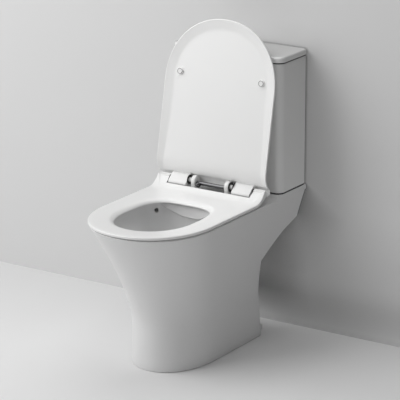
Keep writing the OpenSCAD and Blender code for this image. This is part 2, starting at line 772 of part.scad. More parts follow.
// Each ring of the lid: distance in from the edge, and height over the lip
under_rings = [[2, 0], [4, 0], [dish_band, dish_d], [dish_band + 8, dish_d],
    [dish_band + 20, dish_d], [dish_band + 34, dish_d], [150, dish_d]];
lid_edge = 6;
crown = dish_d + lid_t;
over_rings = [[150, crown], [100, crown], [70, crown - 0.3], [45, crown - 1], [28, crown - 2],
    [14, crown - 3.6], [5, crown - 5.5], [1.5, crown - 7], [0, lid_edge - 3], [0.6, 1]];
function lid_inward(o, a) = o + (lid_mid - o) * min(a / norm(lid_mid - o), 0.9);
function lid_rise(d) = ramp_h * pow(clamp01((lid_rise_len - d) / lid_rise_len), 2);
function lid_level(o, a, over) = [for (p = o) let (q = lid_inward(p, a), d = hinge_y - q[1],
    h = over ? max(lid_rise(d) * clamp01(a / 30), ramp(d, ramp_h)) : ramp(d, ramp_h)) [q[0], q[1], h]];
function raised(ring, z) = [for (p = ring) [p[0], p[1], p[2] + z]];
module opened() {
    translate([0, hinge_y, hinge_z]) rotate([-lid_open, 0, 0]) translate([0, -hinge_y, -hinge_z])
        children();
}
barrel_r = notch_d - 1.2;
module lid_cover() {
    low = [for (i = [len(under_rings) - 1:-1:0]) let (u = under_rings[i])
        raised(lid_level(lid_outline, u[0], false), lid_lip + u[1])];
    high = [for (i = [len(over_rings) - 1:-1:0]) let (u = over_rings[i])
        raised(lid_level(lid_outline, u[0], true), lid_lip + u[1])];
    color("white") opened() difference() {
        skin(concat(low, high));
        along_x(-ear_in) cylinder(r = barrel_r + gap, h = 2 * ear_in);
        translate([-ear_in, hinge_y, hinge_z - barrel_r]) cube([2 * ear_in, barrel_r, barrel_r]);
        mirrored() along_x(ear_in - 1) cylinder(r = 15.5, h = total_len);
    }
}
lid_buffer_x = 134;
lid_buffer_d = 302;
module lid_buffers() {
    color("whitesmoke") opened() mirrored()
        translate([lid_buffer_x, hinge_y - lid_buffer_d, seat_top + gap])
            cylinder(r = buffer_r, h = seat_buffer + dish_d);
}
// Section of a barrel when the lid is shut: forwards and upwards from the axis
barrel_section = [[-12, -17], [-10.5, -18], [-8.5, -17.8], [13, 0], [15, 3], [16, 8], [18.5, 10.4],
    [9, 19.3], [0, barrel_r], [-9, 19.3], [-15, 15], [-19, 9], [-21, 0], [-18.5, -10]];
core_r = 6;
module lid_barrels() {
    color("white") opened() mirrored() difference() {
        along_x(barrel_in) rotate([0, 0, 90]) linear_extrude(height = barrel_w)
            polygon([for (p = barrel_section) [-p[0], p[1]]]);
        along_x(barrel_in - 1) cylinder(r = core_r + running, h = barrel_w + 2);
    }
}
module damper_cores() {
    color("dimgray") opened() mirrored() along_x(barrel_in)
        washer(core_r, axle_r + running, barrel_w);
}

// Flush valve in the middle of the cistern
washer_t = 3;
body_low = floor_top + washer_t;
flange_r = tail_r + 12;
flange_t = 6;
way_r = 20;
tower_top = body_low + tower_h;
rib_r = 30;
rib_t = 4;
guide_h = 8;
tail_low = shelf_h - shelf_t - 10;
seal_z = body_low + flange_t + gap;
seal_t = 4;
tube_top = tower_top + 30;
rocker_z = tube_top + lift + 12;
rocker_arm = 24;
rocker_t = 3;
rocker_w = 8;
rod_x = 13;
rod_r = 2;
rod_play = 0.4;
pin_r = 2;
module at_valve(z) {
    translate([0, tank_y, z]) children();
}
module along_y(x, z, reach) {
    translate([x, tank_y - reach, z]) rotate([-90, 0, 0]) children();
}
module flush_valve_body() {
    color("white") difference() {
        union() {
            at_valve(body_low) cylinder(r = flange_r, h = flange_t);
            at_valve(tail_low) cylinder(r = tail_r, h = body_low - tail_low + 1);
            for (a = [45:90:315]) at_valve(body_low) rotate([0, 0, a])
                translate([rib_r - 6, -rib_t / 2, 0]) cube([6, rib_t, tower_h]);
            for (z = [tower_h * 0.45, tower_h - guide_h]) at_valve(body_low + z)
                cylinder(r = rib_r, h = guide_h);
            for (a = [90, 270]) at_valve(tower_top - guide_h) rotate([0, 0, a])
                translate([rib_r - 6, -5, 0]) cube([6, 10, rocker_z - tower_top + guide_h + 6]);
        }
        at_valve(tail_low - 1) cylinder(r = way_r, h = body_low + flange_t - tail_low + 2);
        at_valve(body_low + flange_t + 1) cylinder(r = tube_r + gap, h = tower_h);
        along_y(0, rocker_z, rib_r + 2) cylinder(r = pin_r + running, h = 2 * rib_r + 4);
    }
}
module flush_valve_washer() {
    color("dimgray") at_valve(floor_top) washer(flange_r, tail_r + running, washer_t);
}
flush_nut_h = 9;
module flush_valve_nut() {
    color("white") at_valve(shelf_h - flush_nut_h) washer(nut_r, tail_r + running, flush_nut_h);
}
module flush_seal() {
    color("firebrick") at_valve(seal_z) washer(rib_r - 7, tube_r, seal_t);
}
module overflow_tube() {
    arm_x = rocker_arm + 1.5;
    arm_t = 4;
    arm_w = 6;
    color("lightblue") translate([0, tank_y, 0]) difference() {
        union() {
            translate([0, 0, seal_z]) cylinder(r = tube_r, h = tube_top - seal_z);
            translate([0, 0, seal_z + seal_t]) cylinder(r = rib_r - 8, h = flange_t);
            translate([tube_r - 1, -arm_w / 2, tower_top + 6])
                cube([arm_x + arm_t - tube_r + 1, arm_w, arm_t]);
            translate([arm_x, -arm_w / 2, tower_top + 6])
                cube([arm_t, arm_w, rocker_z - tower_top]);
            translate([rocker_arm - 7, -arm_w / 2, rocker_z + rocker_t / 2 + rod_play])
                cube([arm_x + arm_t - rocker_arm + 7, arm_w, arm_t]);
        }
        translate([0, 0, seal_z - 1]) cylinder(r = tube_r - 2.5, h = tower_h + 200);
    }
}
module flush_rocker() {
    left = rod_x + 4;
    color("white") difference() {
        union() {
            translate([-left, tank_y - rocker_w / 2, rocker_z - rocker_t / 2])
                cube([left + rocker_arm, rocker_w, rocker_t]);
            along_y(0, rocker_z, rocker_w / 2) cylinder(r = pin_r + 2.5, h = rocker_w);
        }
        along_y(0, rocker_z, rocker_w) cylinder(r = pin_r + running, h = 2 * rocker_w);
    }
}
module rocker_pin() {
    color("silver") along_y(0, rocker_z, rib_r) cylinder(r = pin_r, h = 2 * rib_r);
}

// Fill valve beside it
fill_flange = 19;
fill_bore = 5;
fill_low = shelf_h - inlet_len;
fill_nut_h = 9;
shank_low = shelf_h - fill_nut_h - 2;
column_r = 11;
column_top = body_low + fill_h;
fill_cap_h = 12;
float_low = column_top - float_h - float_travel - 24;
lever_z = column_top + fill_cap_h + 8;
lever_pivot = 18;
lever_arm = 45;
link_x = 39;
lever_t = 3;
lever_w = 8;
link_play = 0.5;
module at_fill(z) {
    translate([fill_x, tank_y, z]) children();
}
module fill_valve_body() {
    color("white") difference() {
        union() {
            at_fill(fill_low) cylinder(r = inlet_r, h = body_low - fill_low);
            at_fill(shank_low) cylinder(r = shank_r, h = body_low - shank_low + 1);
            at_fill(body_low) cylinder(r = fill_flange, h = flange_t);
            at_fill(body_low) cylinder(r = column_r, h = fill_h);
        }
        at_fill(fill_low - 1) cylinder(r = fill_bore, h = column_top - fill_low - 8);
    }
}
module fill_valve_seal() {
    color("dimgray") at_fill(floor_top) washer(fill_flange - 1, shank_r + running, washer_t);
}
module fill_valve_nut() {
    color("white") at_fill(shelf_h - fill_nut_h)
        washer(fill_hole_r - 4, shank_r + running, fill_nut_h);
}
module fill_valve_cap() {
    ear_t = 3;
    ear_in_y = lever_w / 2 + gap;
    color("lightblue") difference() {
        union() {
            at_fill(column_top) cylinder(r = column_r + 3, h = fill_cap_h);
            for (y = [-ear_in_y - ear_t, ear_in_y]) at_fill(column_top)
                translate([0, y, 0]) cube([lever_pivot + 5, ear_t, lever_z - column_top + 5]);
        }
        along_y(fill_x + lever_pivot, lever_z, lever_w)
            cylinder(r = pin_r + running, h = 2 * lever_w);
    }
}
module lever_pin() {
    reach = lever_w / 2 + 4;
    color("silver") along_y(fill_x + lever_pivot, lever_z, reach) cylinder(r = pin_r, h = 2 * reach);
}
module float_lever() {
    color("white") difference() {
        union() {
            translate([fill_x + lever_pivot - lever_arm, tank_y - lever_w / 2, lever_z - lever_t / 2])
                cube([lever_arm, lever_w, lever_t]);
            along_y(fill_x + lever_pivot, lever_z, lever_w / 2) cylinder(r = 4, h = lever_w);
        }
        along_y(fill_x + lever_pivot, lever_z, lever_w) cylinder(r = pin_r + running, h = 2 * lever_w);
    }
}
module float_cup() {
    link_low = float_low + float_h - 3;
    color("gold") difference() {
        union() {
            at_fill(float_low) cylinder(r = float_r, h = float_h);
            translate([fill_x + lever_pivot - link_x, tank_y, link_low])
                cylinder(r = rod_r, h = lever_z - lever_t / 2 - link_play - link_low);
        }
        at_fill(float_low - 1) cylinder(r = column_r + gap, h = float_h + 2);
        at_fill(float_low - 1) difference() {
            cylinder(r = float_r - 2, h = float_h - 2);
            cylinder(r = column_r + 3, h = float_h + 2);
        }
    }
}

// Buttons in the cistern's lid: one long and one short, split across the middle
bezel_t = 2.5;
bezel_floor = 3;
bezel_nut_h = 8;
button_top = cap_top + bezel_t - 1;
button_t = 9;
spring_room = 16;
bezel_low = button_top - button_t - button_travel - spring_room - bezel_floor;
split_x = 3;
half_rod = [11, 9];
half_rod_low = rocker_z + 14;
module button_bezel() {
    stem_r = button_r + 3;
    color("silver") difference() {
        union() {
            at_valve(cap_top) cylinder(r = bezel_r, h = bezel_t);
            at_valve(bezel_low) cylinder(r = stem_r, h = cap_top - bezel_low + 1);
        }
        at_valve(bezel_low + bezel_floor) cylinder(r = button_r, h = cap_h + 40);
        at_valve(bezel_low - 1) {
            translate([-rod_x, 0, 0]) cylinder(r = rod_r + gap, h = bezel_floor + 2);
            translate([half_rod[0], half_rod[1], 0]) cylinder(r = rod_r + gap, h = bezel_floor + 2);
        }
    }
}
module bezel_nut() {
    color("white") at_valve(cap_top - cap_shell - bezel_nut_h)
        washer(bezel_r + 3, button_r + 3 + running, bezel_nut_h);
}
module button_slice(low, high) {
    color("silver") intersection() {
        at_valve(button_top - button_t) cylinder(r = button_r - gap, h = button_t);
        translate([low, tank_y - button_r, button_top - button_t])
            cube([high - low, 2 * button_r, button_t]);
    }
}
module full_flush_button() {
    button_slice(-button_r, split_x - gap);
}
module half_flush_button() {
    button_slice(split_x + gap, button_r);
}
module full_flush_rod() {
    low = rocker_z + rocker_t / 2 + rod_play;
    color("white") translate([-rod_x, tank_y, low]) cylinder(r = rod_r, h = button_top - button_t - low);
}
module half_flush_rod() {
    color("white") translate([half_rod[0], tank_y + half_rod[1], half_rod_low])
        cylinder(r = rod_r, h = button_top - button_t - half_rod_low);
}

pan_bowl();
pan_shelf();
pan_foot();
jet_nozzle();
cistern_tank();
cistern_lid();
coupling_gasket();
coupling_bolts();
bolt_seals();
bolt_plates();
coupling_wing_nuts();
hinge_post_left();
hinge_post_right();
hinge_pads();
hinge_studs();
expanding_plugs();
hinge_axles();
axle_spacers();
release_bar();
ball_knob();
seat_ring();
seat_buffers();
seat_bushes();
lid_cover();
lid_buffers();
lid_barrels();
damper_cores();
flush_valve_body();
flush_valve_washer();
flush_valve_nut();
overflow_tube();
flush_seal();
flush_rocker();
rocker_pin();
fill_valve_body();
fill_valve_seal();
fill_valve_nut();
fill_valve_cap();
float_cup();
float_lever();
lever_pin();
button_bezel();
bezel_nut();
full_flush_button();
half_flush_button();
full_flush_rod();
half_flush_rod();
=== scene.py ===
import math

import bmesh
import bpy
from mathutils import Matrix, Vector


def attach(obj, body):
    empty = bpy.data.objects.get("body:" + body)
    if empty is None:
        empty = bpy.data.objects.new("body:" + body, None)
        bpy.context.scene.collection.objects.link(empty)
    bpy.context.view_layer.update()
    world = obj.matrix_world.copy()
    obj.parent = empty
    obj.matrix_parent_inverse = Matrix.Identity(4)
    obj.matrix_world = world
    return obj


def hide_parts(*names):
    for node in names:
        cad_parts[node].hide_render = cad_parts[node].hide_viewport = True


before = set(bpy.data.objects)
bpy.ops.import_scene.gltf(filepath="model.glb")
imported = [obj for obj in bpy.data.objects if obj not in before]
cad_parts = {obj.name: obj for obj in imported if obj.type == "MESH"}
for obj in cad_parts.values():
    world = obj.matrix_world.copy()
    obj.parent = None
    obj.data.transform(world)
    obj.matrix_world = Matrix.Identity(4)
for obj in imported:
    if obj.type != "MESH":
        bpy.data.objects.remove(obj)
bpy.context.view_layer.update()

# Camera. A long lens from the right of the front, a little above the seat, as the photograph
# has it. The place it looks at and its distance were solved from the edges of the object.
camera_turn, camera_lift = math.radians(32.983), math.radians(16.947)
camera_far, camera_lens = 6.9877, 225.65
camera_aim = Vector((0.0141, 0.0495, 0.4335))
camera_back = Vector((math.sin(camera_turn) * math.cos(camera_lift),
                      -math.cos(camera_turn) * math.cos(camera_lift), math.sin(camera_lift)))
camera = bpy.data.objects.new("camera", bpy.data.cameras.new("camera"))
bpy.context.scene.collection.objects.link(camera)
camera.data.lens = camera_lens
camera.data.clip_end = 60
camera.location = camera_aim + camera_back * camera_far
camera.rotation_mode = "QUATERNION"
camera.rotation_quaternion = (-camera_back).to_track_quat("-Z", "Y")
bpy.context.scene.camera = camera
bpy.context.scene.view_settings.view_transform = "Standard"

# Studio. A pale floor, and a pale wall that only the camera sees, and only from the front. A large
# soft lamp stands high on the left of the front, one hangs overhead and a weak one fills in from
# the right of the front, with a faint glow all round.
wall_y, room, wall_h = 0.3495, 9, 7
floor_white, wall_white = (0.80, 0.80, 0.80), (0.71, 0.71, 0.71)


def put(node, values):
    """Sets inputs of a node by name."""
    for name, value in values.items():
        node.inputs[name].default_value = value


def new_material(name):
    """A fresh material, with its nodes, its links and the node that shades its surface."""
    made = bpy.data.materials.new(name)
    made.use_nodes = True
    nodes, links = made.node_tree.nodes, made.node_tree.links
    return made, nodes, links, nodes["Principled BSDF"]


def plain(name, colour):
    made, nodes, links, skin = new_material(name)
    put(skin, {"Base Color": (*colour, 1), "Roughness": 0.9, "Specular IOR Level": 0.2})
    return made


def place(bm, name):
    """Turns a bmesh into an object of the scene, with its place in its mesh."""
    mesh = bpy.data.meshes.new(name)
    bm.to_mesh(mesh)
    bm.free()
    made = bpy.data.objects.new(name, mesh)
    bpy.context.scene.collection.objects.link(made)
    return made


def plane(name, corners, material):
    bm = bmesh.new()
    bmesh.ops.create_grid(bm, x_segments=1, y_segments=1, size=1)
    for v, corner in zip(bm.verts, corners):
        v.co = corner
    made = place(bm, name)
    made.data.materials.append(material)
    return made


floor_paint, wall_paint = plain("floor_paint", floor_white), plain("wall_paint", wall_white)
plane("floor", [(-room, -room, 0), (room, -room, 0), (-room, room, 0), (room, room, 0)], floor_paint)
wall = plane("wall", [(-room, wall_y, 0), (room, wall_y, 0), (-room, wall_y, wall_h), (room, wall_y, wall_h)],
             wall_paint)
wall.visible_diffuse = wall.visible_glossy = wall.visible_transmission = wall.visible_shadow = False
nodes, links = wall_paint.node_tree.nodes, wall_paint.node_tree.links
behind = nodes.new("ShaderNodeNewGeometry")
clear = nodes.new("ShaderNodeBsdfTransparent")
pick = nodes.new("ShaderNodeMixShader")
links.new(behind.outputs["Backfacing"], pick.inputs["Fac"])
links.new(nodes["Principled BSDF"].outputs["BSDF"], pick.inputs[1])
links.new(clear.outputs["BSDF"], pick.inputs[2])
links.new(pick.outputs["Shader"], nodes["Material Output"].inputs["Surface"])

# The wall's shade is a thin line beside the cistern and reaches further behind the pan. It fades
# out just above the floor and to the left of the object.
where, place_on_wall = nodes.new("ShaderNodeTexCoord"), nodes.new("ShaderNodeSeparateXYZ")
near, shade = nodes.new("ShaderNodeAmbientOcclusion"), nodes.new("ShaderNodeMix")
links.new(where.outputs["Object"], place_on_wall.inputs["Vector"])


def wall_ramp(axis, start, end, low=0.0, high=1.0):
    """A value that goes from low to high between two places along an axis of the wall."""
    made = nodes.new("ShaderNodeMapRange")
    put(made, {"From Min": start, "From Max": end, "To Min": low, "To Max": high})
    links.new(place_on_wall.outputs[axis], made.inputs["Value"])
    return made.outputs["Result"]


fade = nodes.new("ShaderNodeMath")
fade.operation = "MULTIPLY"
links.new(wall_ramp("Z", 0.34, 0.43, 0.16, 0.008), near.inputs["Distance"])
links.new(wall_ramp("Z", 0.02, 0.10), fade.inputs[0])
links.new(wall_ramp("X", -0.35, -0.20), fade.inputs[1])
shade.data_type = "RGBA"
near.inputs["Color"].default_value = shade.inputs["A"].default_value = (*wall_white, 1)
links.new(fade.outputs["Value"], shade.inputs["Factor"])
links.new(near.outputs["Color"], shade.inputs["B"])
links.new(shade.outputs["Result"], nodes["Principled BSDF"].inputs["Base Color"])

glow = 0.046
world = bpy.data.worlds.new("studio")
world.use_nodes = True
put(world.node_tree.nodes["Background"], {"Color": (1, 1, 1, 1), "Strength": glow})
bpy.context.scene.world = world
lamp_at = Vector((0, 0, 0.4))
# The direction of each lamp from that place, its power, its size and how far off it is.
lamps = (((-0.62, -0.50, 0.60), 90, 3.2, 3.2), ((0, 0, 1), 50, 3.0, 3.2),
         ((0.75, -0.75, 0.35), 15.5, 3.0, 4.0))
for lamp_way, power, size, far in lamps:
    lamp_way = Vector(lamp_way).normalized()
    lamp = bpy.data.objects.new("lamp", bpy.data.lights.new("lamp", "AREA"))
    bpy.context.scene.collection.objects.link(lamp)
    lamp.data.energy, lamp.data.size = power, size
    lamp.location = lamp_at + lamp_way * far
    lamp.rotation_mode = "QUATERNION"
    lamp.rotation_quaternion = (-lamp_way).to_track_quat("-Z", "Y")

# Pan. One piece of vitreous china, slip-cast and glazed white: a flared shell on a narrow foot,
# with a rimless bowl, a trap behind it, a flush way from the shelf, and a spigot to the drain.
# The shell, the hollows and the bores are lofted here and cut from one another.
half_length = 0.3445
rim_h, shelf_rise = 0.423, 0.010
shelf_h = rim_h + shelf_rise
pan_w, foot_w, tank_w, shelf_over = 0.354, 0.228, 0.360, 0.0025
pan_wall = 0.012
# How far a cutter runs through a face: a little, and well past it.
through, past = 0.001, 0.002
tank_y, tank_d = 0.274, 0.141
hinge_y, hinge_z = 0.1335, 0.458
flare_start, sweep_start, cheek_h = 0.130, 0.235, 0.335
foot_back, pedestal_back = 0.107, 0.134
pedestal_y = half_length - pedestal_back
pan_front, toe_back, nose_low, nose_high, nose_power = -half_length + 0.002, 0.146, 0.165, 0.200, 2.1
corner_low, corner_high, nose_steps = 0.030, 0.006, 72


def mix(a, b, t):
    return a + (b - a) * t


def share(t):
    return max(0.0, min(1.0, t))


def signed_power(c, power):
    return math.copysign(abs(c) ** (2 / power), c)


def arc(x, y, r, start, turn, steps):
    angles = [math.radians(start + turn * i / steps) for i in range(steps + 1)]
    return [(x + r * math.cos(a), y + r * math.sin(a)) for a in angles]


def rolled(r, step=15):
    """A quarter round: at each step how far it is from its start, and how far its end still is."""
    quarter = [math.radians(d) for d in range(0, 91, step)]
    return [(r * (1 - math.cos(a)), r * (1 - math.sin(a))) for a in quarter]


def nose_line(half, front, curve, power):
    """A round front as a line of points, from the left side to the right."""
    return [(half * signed_power(math.cos(a), power), front + curve - curve * math.sin(a) ** (2 / power))
            for a in [math.pi - math.pi * i / nose_steps for i in range(nose_steps + 1)]]


def loft(name, rings, closed=False):
    """A skin through rings of points, each extruded from the one before."""
    bm = bmesh.new()
    number = bm.verts.layers.int.new("number")
    made = bmesh.ops.create_circle(bm, segments=len(rings[0]), radius=1)["verts"]
    loop = sorted(made, key=lambda v: math.atan2(v.co.y, v.co.x) % math.tau)
    for i, v in enumerate(loop):
        v[number] = i
        v.co = rings[0][i]
    first = edges = list(bm.edges)
    for ring in rings[1:]:
        grown = bmesh.ops.extrude_edge_only(bm, edges=edges)["geom"]
        edges = [g for g in grown if isinstance(g, bmesh.types.BMEdge)
                 and all(v in grown for v in g.verts)]
        for v in grown:
            if isinstance(v, bmesh.types.BMVert):
                v.co = ring[v[number]]
    if closed:
        bmesh.ops.bridge_loops(bm, edges=first + edges)
    else:
        bmesh.ops.edgeloop_fill(bm, edges=first)
        bmesh.ops.edgeloop_fill(bm, edges=edges)
    bmesh.ops.remove_doubles(bm, verts=bm.verts, dist=1e-6)
    bmesh.ops.recalc_face_normals(bm, faces=bm.faces)
    return place(bm, name)


def combine(base, tools, operation):
    """Joins the tools to the base or cuts them from it, and removes them."""
    for tool in tools:
        step = base.modifiers.new("step", "BOOLEAN")
        step.operation, step.object, step.solver = operation, tool, "MANIFOLD"
        bpy.context.view_layer.update()
        shaped = bpy.data.meshes.new_from_object(base.evaluated_get(bpy.context.evaluated_depsgraph_get()))
        base.modifiers.clear()
        base.data = shaped
        bpy.data.objects.remove(tool)
    return base


def soften(piece, angle=35):
    """Smooth shading, with a crease left where faces meet at more than the angle."""
    piece.data.shade_smooth()
    piece.data.set_sharp_from_angle(angle=math.radians(angle))
    return piece


def flare(z):
    return share((z - flare_start) / (rim_h - flare_start)) ** 1.4


def pan_half(z):
    return mix(foot_w, pan_w, flare(z)) / 2


def rear_half(z):
    return pan_half(z) + (tank_w / 2 + shelf_over - pan_w / 2) * flare(z)


def pan_back(z):
    if z <= sweep_start:
        return half_length - mix(foot_back, pedestal_back, share(z / sweep_start))
    return half_length - pedestal_back * share((cheek_h - z) / (cheek_h - sweep_start)) ** 0.7


def shell_ring(z, level, inset, back):
    """The pan's outline as it is at the height z, drawn in by an inset and laid at a level."""
    half, rear = pan_half(z) - inset, rear_half(z) - inset
    front = mix(pan_front + toe_back, pan_front, flare(z)) + inset
    curve = mix(nose_low, nose_high, flare(z))
    corner = mix(corner_high, corner_low, share((cheek_h - z) / (cheek_h - sweep_start)))
    back = back - inset
    nose = nose_line(half, front, curve, nose_power)
    straight = [(mix(half, rear, t / 8), mix(front + curve, back - corner, t / 8)) for t in range(1, 8)]
    outline = (nose + straight + arc(rear - corner, back - corner, corner, 0, 90, 8)
               + arc(corner - rear, back - corner, corner, 90, 90, 8)
               + [(-x, y) for x, y in reversed(straight)])
    return [(x, y, level) for x, y in outline]


bowl_floor, bowl_mid, bowl_front, bowl_back, bowl_half = 0.118, -0.0565, -0.2965, 0.0395, 0.131
sump_half, sump_front, sump_back, bowl_power, bowl_steps = 0.032, -0.0965, -0.0105, 2.2, 96


def bowl_sizes(z):
    """Half the bowl's width at a height, and its reach to the front and the back of its middle."""
    t = share((z - bowl_floor) / (rim_h - bowl_floor))
    return (mix(sump_half, bowl_half, t ** 0.45), bowl_mid - mix(sump_front, bowl_front, t ** 0.62),
            mix(sump_back, bowl_back, t ** 0.55) - bowl_mid)


def bowl_ring(z, level, grow):
    half, front, rear = [size + grow for size in bowl_sizes(z)]
    points = []
    for i in range(bowl_steps):
        a = math.tau * i / bowl_steps
        s = signed_power(math.sin(a), bowl_power)
        x = half * signed_power(math.cos(a), bowl_power)
        points.append((x, bowl_mid + (rear if s > 0 else front) * s, level))
    return points


def route_tube(name, route, r, sides=32):
    """A round tube along a line of (y, z) points in the middle plane."""
    rings = []
    for i, (y, z) in enumerate(route):
        ahead, behind = route[min(i + 1, len(route) - 1)], route[max(i - 1, 0)]
        dy, dz = ahead[0] - behind[0], ahead[1] - behind[1]
        n = math.hypot(dy, dz)
        rings.append([(r * math.cos(a), y - r * math.sin(a) * dz / n, z + r * math.sin(a) * dy / n)
                      for a in [math.tau * k / sides for k in range(sides)]])
    return loft(name, rings)


def rod(name, start, end, r, sides=64):
    """A round bar between two points."""
    start, end = Vector(start), Vector(end)
    bm = bmesh.new()
    bmesh.ops.create_cone(bm, cap_ends=True, segments=sides, radius1=r, radius2=r,
                          depth=(end - start).length)
    turn = (end - start).to_track_quat("Z", "Y").to_matrix().to_4x4()
    bmesh.ops.transform(bm, matrix=Matrix.Translation((start + end) / 2) @ turn, verts=bm.verts)
    return place(bm, name)


def block(name, low, high, round_edge=0.0, segments=3):
    """A box between two corners, with its edges rounded."""
    low, high = Vector(low), Vector(high)
    bm = bmesh.new()
    bmesh.ops.create_cube(bm, size=1)
    bmesh.ops.scale(bm, vec=high - low, verts=bm.verts)
    bmesh.ops.translate(bm, vec=(low + high) / 2, verts=bm.verts)
    if round_edge:
        bmesh.ops.bevel(bm, geom=bm.edges[:], offset=round_edge, offset_type="OFFSET", affect="EDGES",
                        segments=segments, profile=0.5, material=-1)
    return place(bm, name)


def joined(name, parts):
    """One object with the meshes of several, which are removed."""
    bm = bmesh.new()
    for part in parts:
        bm.from_mesh(part.data)
        bpy.data.objects.remove(part)
    return place(bm, name)


def glaze(name, colour, gloss):
    """Fired glaze: clear and very smooth over china, with a faint waviness and pin-head variation."""
    made, nodes, links, skin = new_material(name)
    put(skin, {"Coat Weight": 0.25, "Coat Roughness": gloss * 0.6, "IOR": 1.5})
    where = nodes.new("ShaderNodeTexCoord")
    cloud, waves = nodes.new("ShaderNodeTexNoise"), nodes.new("ShaderNodeTexNoise")
    put(cloud, {"Scale": 5, "Detail": 3})
    put(waves, {"Scale": 38, "Detail": 2})
    tint, sheen = nodes.new("ShaderNodeMix"), nodes.new("ShaderNodeMapRange")
    bump = nodes.new("ShaderNodeBump")
    tint.data_type = "RGBA"
    put(tint, {"A": (*[c * 0.985 for c in colour], 1), "B": (*colour, 1)})
    put(sheen, {"To Min": gloss * 0.85, "To Max": gloss * 1.15})
    put(bump, {"Strength": 0.05, "Distance": 0.002})
    for noise in (cloud, waves):
        links.new(where.outputs["Object"], noise.inputs["Vector"])
    links.new(cloud.outputs["Fac"], tint.inputs["Factor"])
    links.new(tint.outputs["Result"], skin.inputs["Base Color"])
    links.new(cloud.outputs["Fac"], sheen.inputs["Value"])
    links.new(sheen.outputs["Result"], skin.inputs["Roughness"])
    links.new(waves.outputs["Fac"], bump.inputs["Height"])
    links.new(bump.outputs["Normal"], skin.inputs["Normal"])
    return made


china = glaze("white_glaze", (0.84, 0.84, 0.835), 0.16)

rim_round = 0.003
levels = ([0, 0.001, 0.0035] + [flare_start * k / 6 for k in range(1, 7)]
          + [mix(flare_start, sweep_start, k / 8) for k in range(1, 8)]
          + [mix(sweep_start, cheek_h, t) for t in (0, 0.02, 0.08, 0.18, 0.32, 0.5, 0.72, 1)]
          + [mix(cheek_h, rim_h - rim_round, k / 7) for k in range(1, 8)])
foot_round = {0: 0.0035, 0.001: 0.0012}
skin_rings = [shell_ring(z, z, foot_round.get(z, 0), pan_back(z)) for z in levels]
skin_rings += [shell_ring(rim_h - drop, rim_h - drop, inset, half_length)
               for inset, drop in rolled(rim_round)[1:]]
pan = loft("pan_body", skin_rings)

shelf_half, shelf_front = tank_w / 2 + shelf_over, tank_y - tank_d / 2 - 0.006
shelf_rings = []
for level, inset, slope in ((rim_h - rim_round, 0.001, 0.018), (rim_h + 0.0005, 0.0, 0.0085),
                            (shelf_h - 0.003, 0.0, 0.0004), (shelf_h - 0.0012, 0.0004, -0.0006),
                            (shelf_h - 0.0003, 0.0014, -0.0020), (shelf_h, 0.003, -0.0036)):
    x, y, r = shelf_half - inset, shelf_front - slope, 0.004
    shelf_rings.append([(px, py, level) for px, py in
                        arc(r - x, y + r, r, 180, 90, 6) + arc(x - r, y + r, r, 270, 90, 6)
                        + [(x, half_length), (-x, half_length)]])
shelf = loft("shelf", shelf_rings)

outlet_r, outlet_bore, outlet_h, outlet_end = 0.051, 0.042, 0.180, 0.2895
collar_r, collar_end = 0.054, 0.2295


def spigot(name, start):
    """The round end of the drain way, with a thicker collar where it leaves the pedestal."""
    return [rod(name, (0, start, outlet_h), (0, outlet_end, outlet_h), outlet_r, sides=96),
            rod(name, (0, start, outlet_h), (0, collar_end, outlet_h), collar_r, sides=96)]


lug_x, lug_w, lug_h, lug_hole, lug_round, lug_root = 0.070, 0.034, 0.016, 0.0045, 0.010, 0.066
lug_end = half_length - foot_back + 0.036


def lug_ring(side, z, inset):
    x, y = lug_w / 2 - inset - lug_round, lug_end - inset - lug_round
    outline = arc(x, y, lug_round, 0, 90, 8) + arc(-x, y, lug_round, 90, 90, 8)
    outline += [(inset - lug_w / 2, lug_end - lug_root), (lug_w / 2 - inset, lug_end - lug_root)]
    return [(side * lug_x + px, py, z) for px, py in outline]


lug_edge = ((0, 0.0004), (0.0004, 0), (lug_h - 0.002, 0), (lug_h - 0.0006, 0.0006), (lug_h, 0.002))
lugs = [loft("lug", [lug_ring(side, z, inset) for z, inset in lug_edge]) for side in (-1, 1)]
combine(pan, [shelf] + spigot("spigot", pedestal_y - pan_wall / 2) + lugs, "UNION")

hollow_top = rim_h - pan_wall
hollow_rings = [shell_ring(z, z, pan_wall, min(pan_back(z), pedestal_y))
                for z in [-through] + levels[3:] if z < hollow_top]
hollow_rings += [shell_ring(hollow_top, hollow_top, pan_wall, pedestal_y)]
hollow = loft("hollow", hollow_rings)
plate_t, cheek_wall, fill_x = 0.014, 0.014, 0.112
plate_under = shelf_h - plate_t
recess_rings = []
for z in [mix(sweep_start, plate_under, k / 10) for k in range(11)]:
    x, back = rear_half(min(z, rim_h)) - cheek_wall, half_length + through
    recess_rings.append([(-x, pedestal_y, z), (x, pedestal_y, z), (x, back, z), (-x, back, z)])
recess = loft("recess", recess_rings)
combine(hollow, [recess], "UNION")

trap_r, trap_wall = 0.030, 0.008
trap_bend, trap_low, weir_h = trap_r + trap_wall + 0.010, bowl_floor + trap_r + 0.002, 0.262
trap_start = -0.0685
climb, fall = math.radians(60), math.radians(80)


def bend_run(rise, slope):
    return 2 * trap_bend * math.sin(slope) + (rise - 2 * trap_bend * (1 - math.cos(slope))) / math.tan(slope)


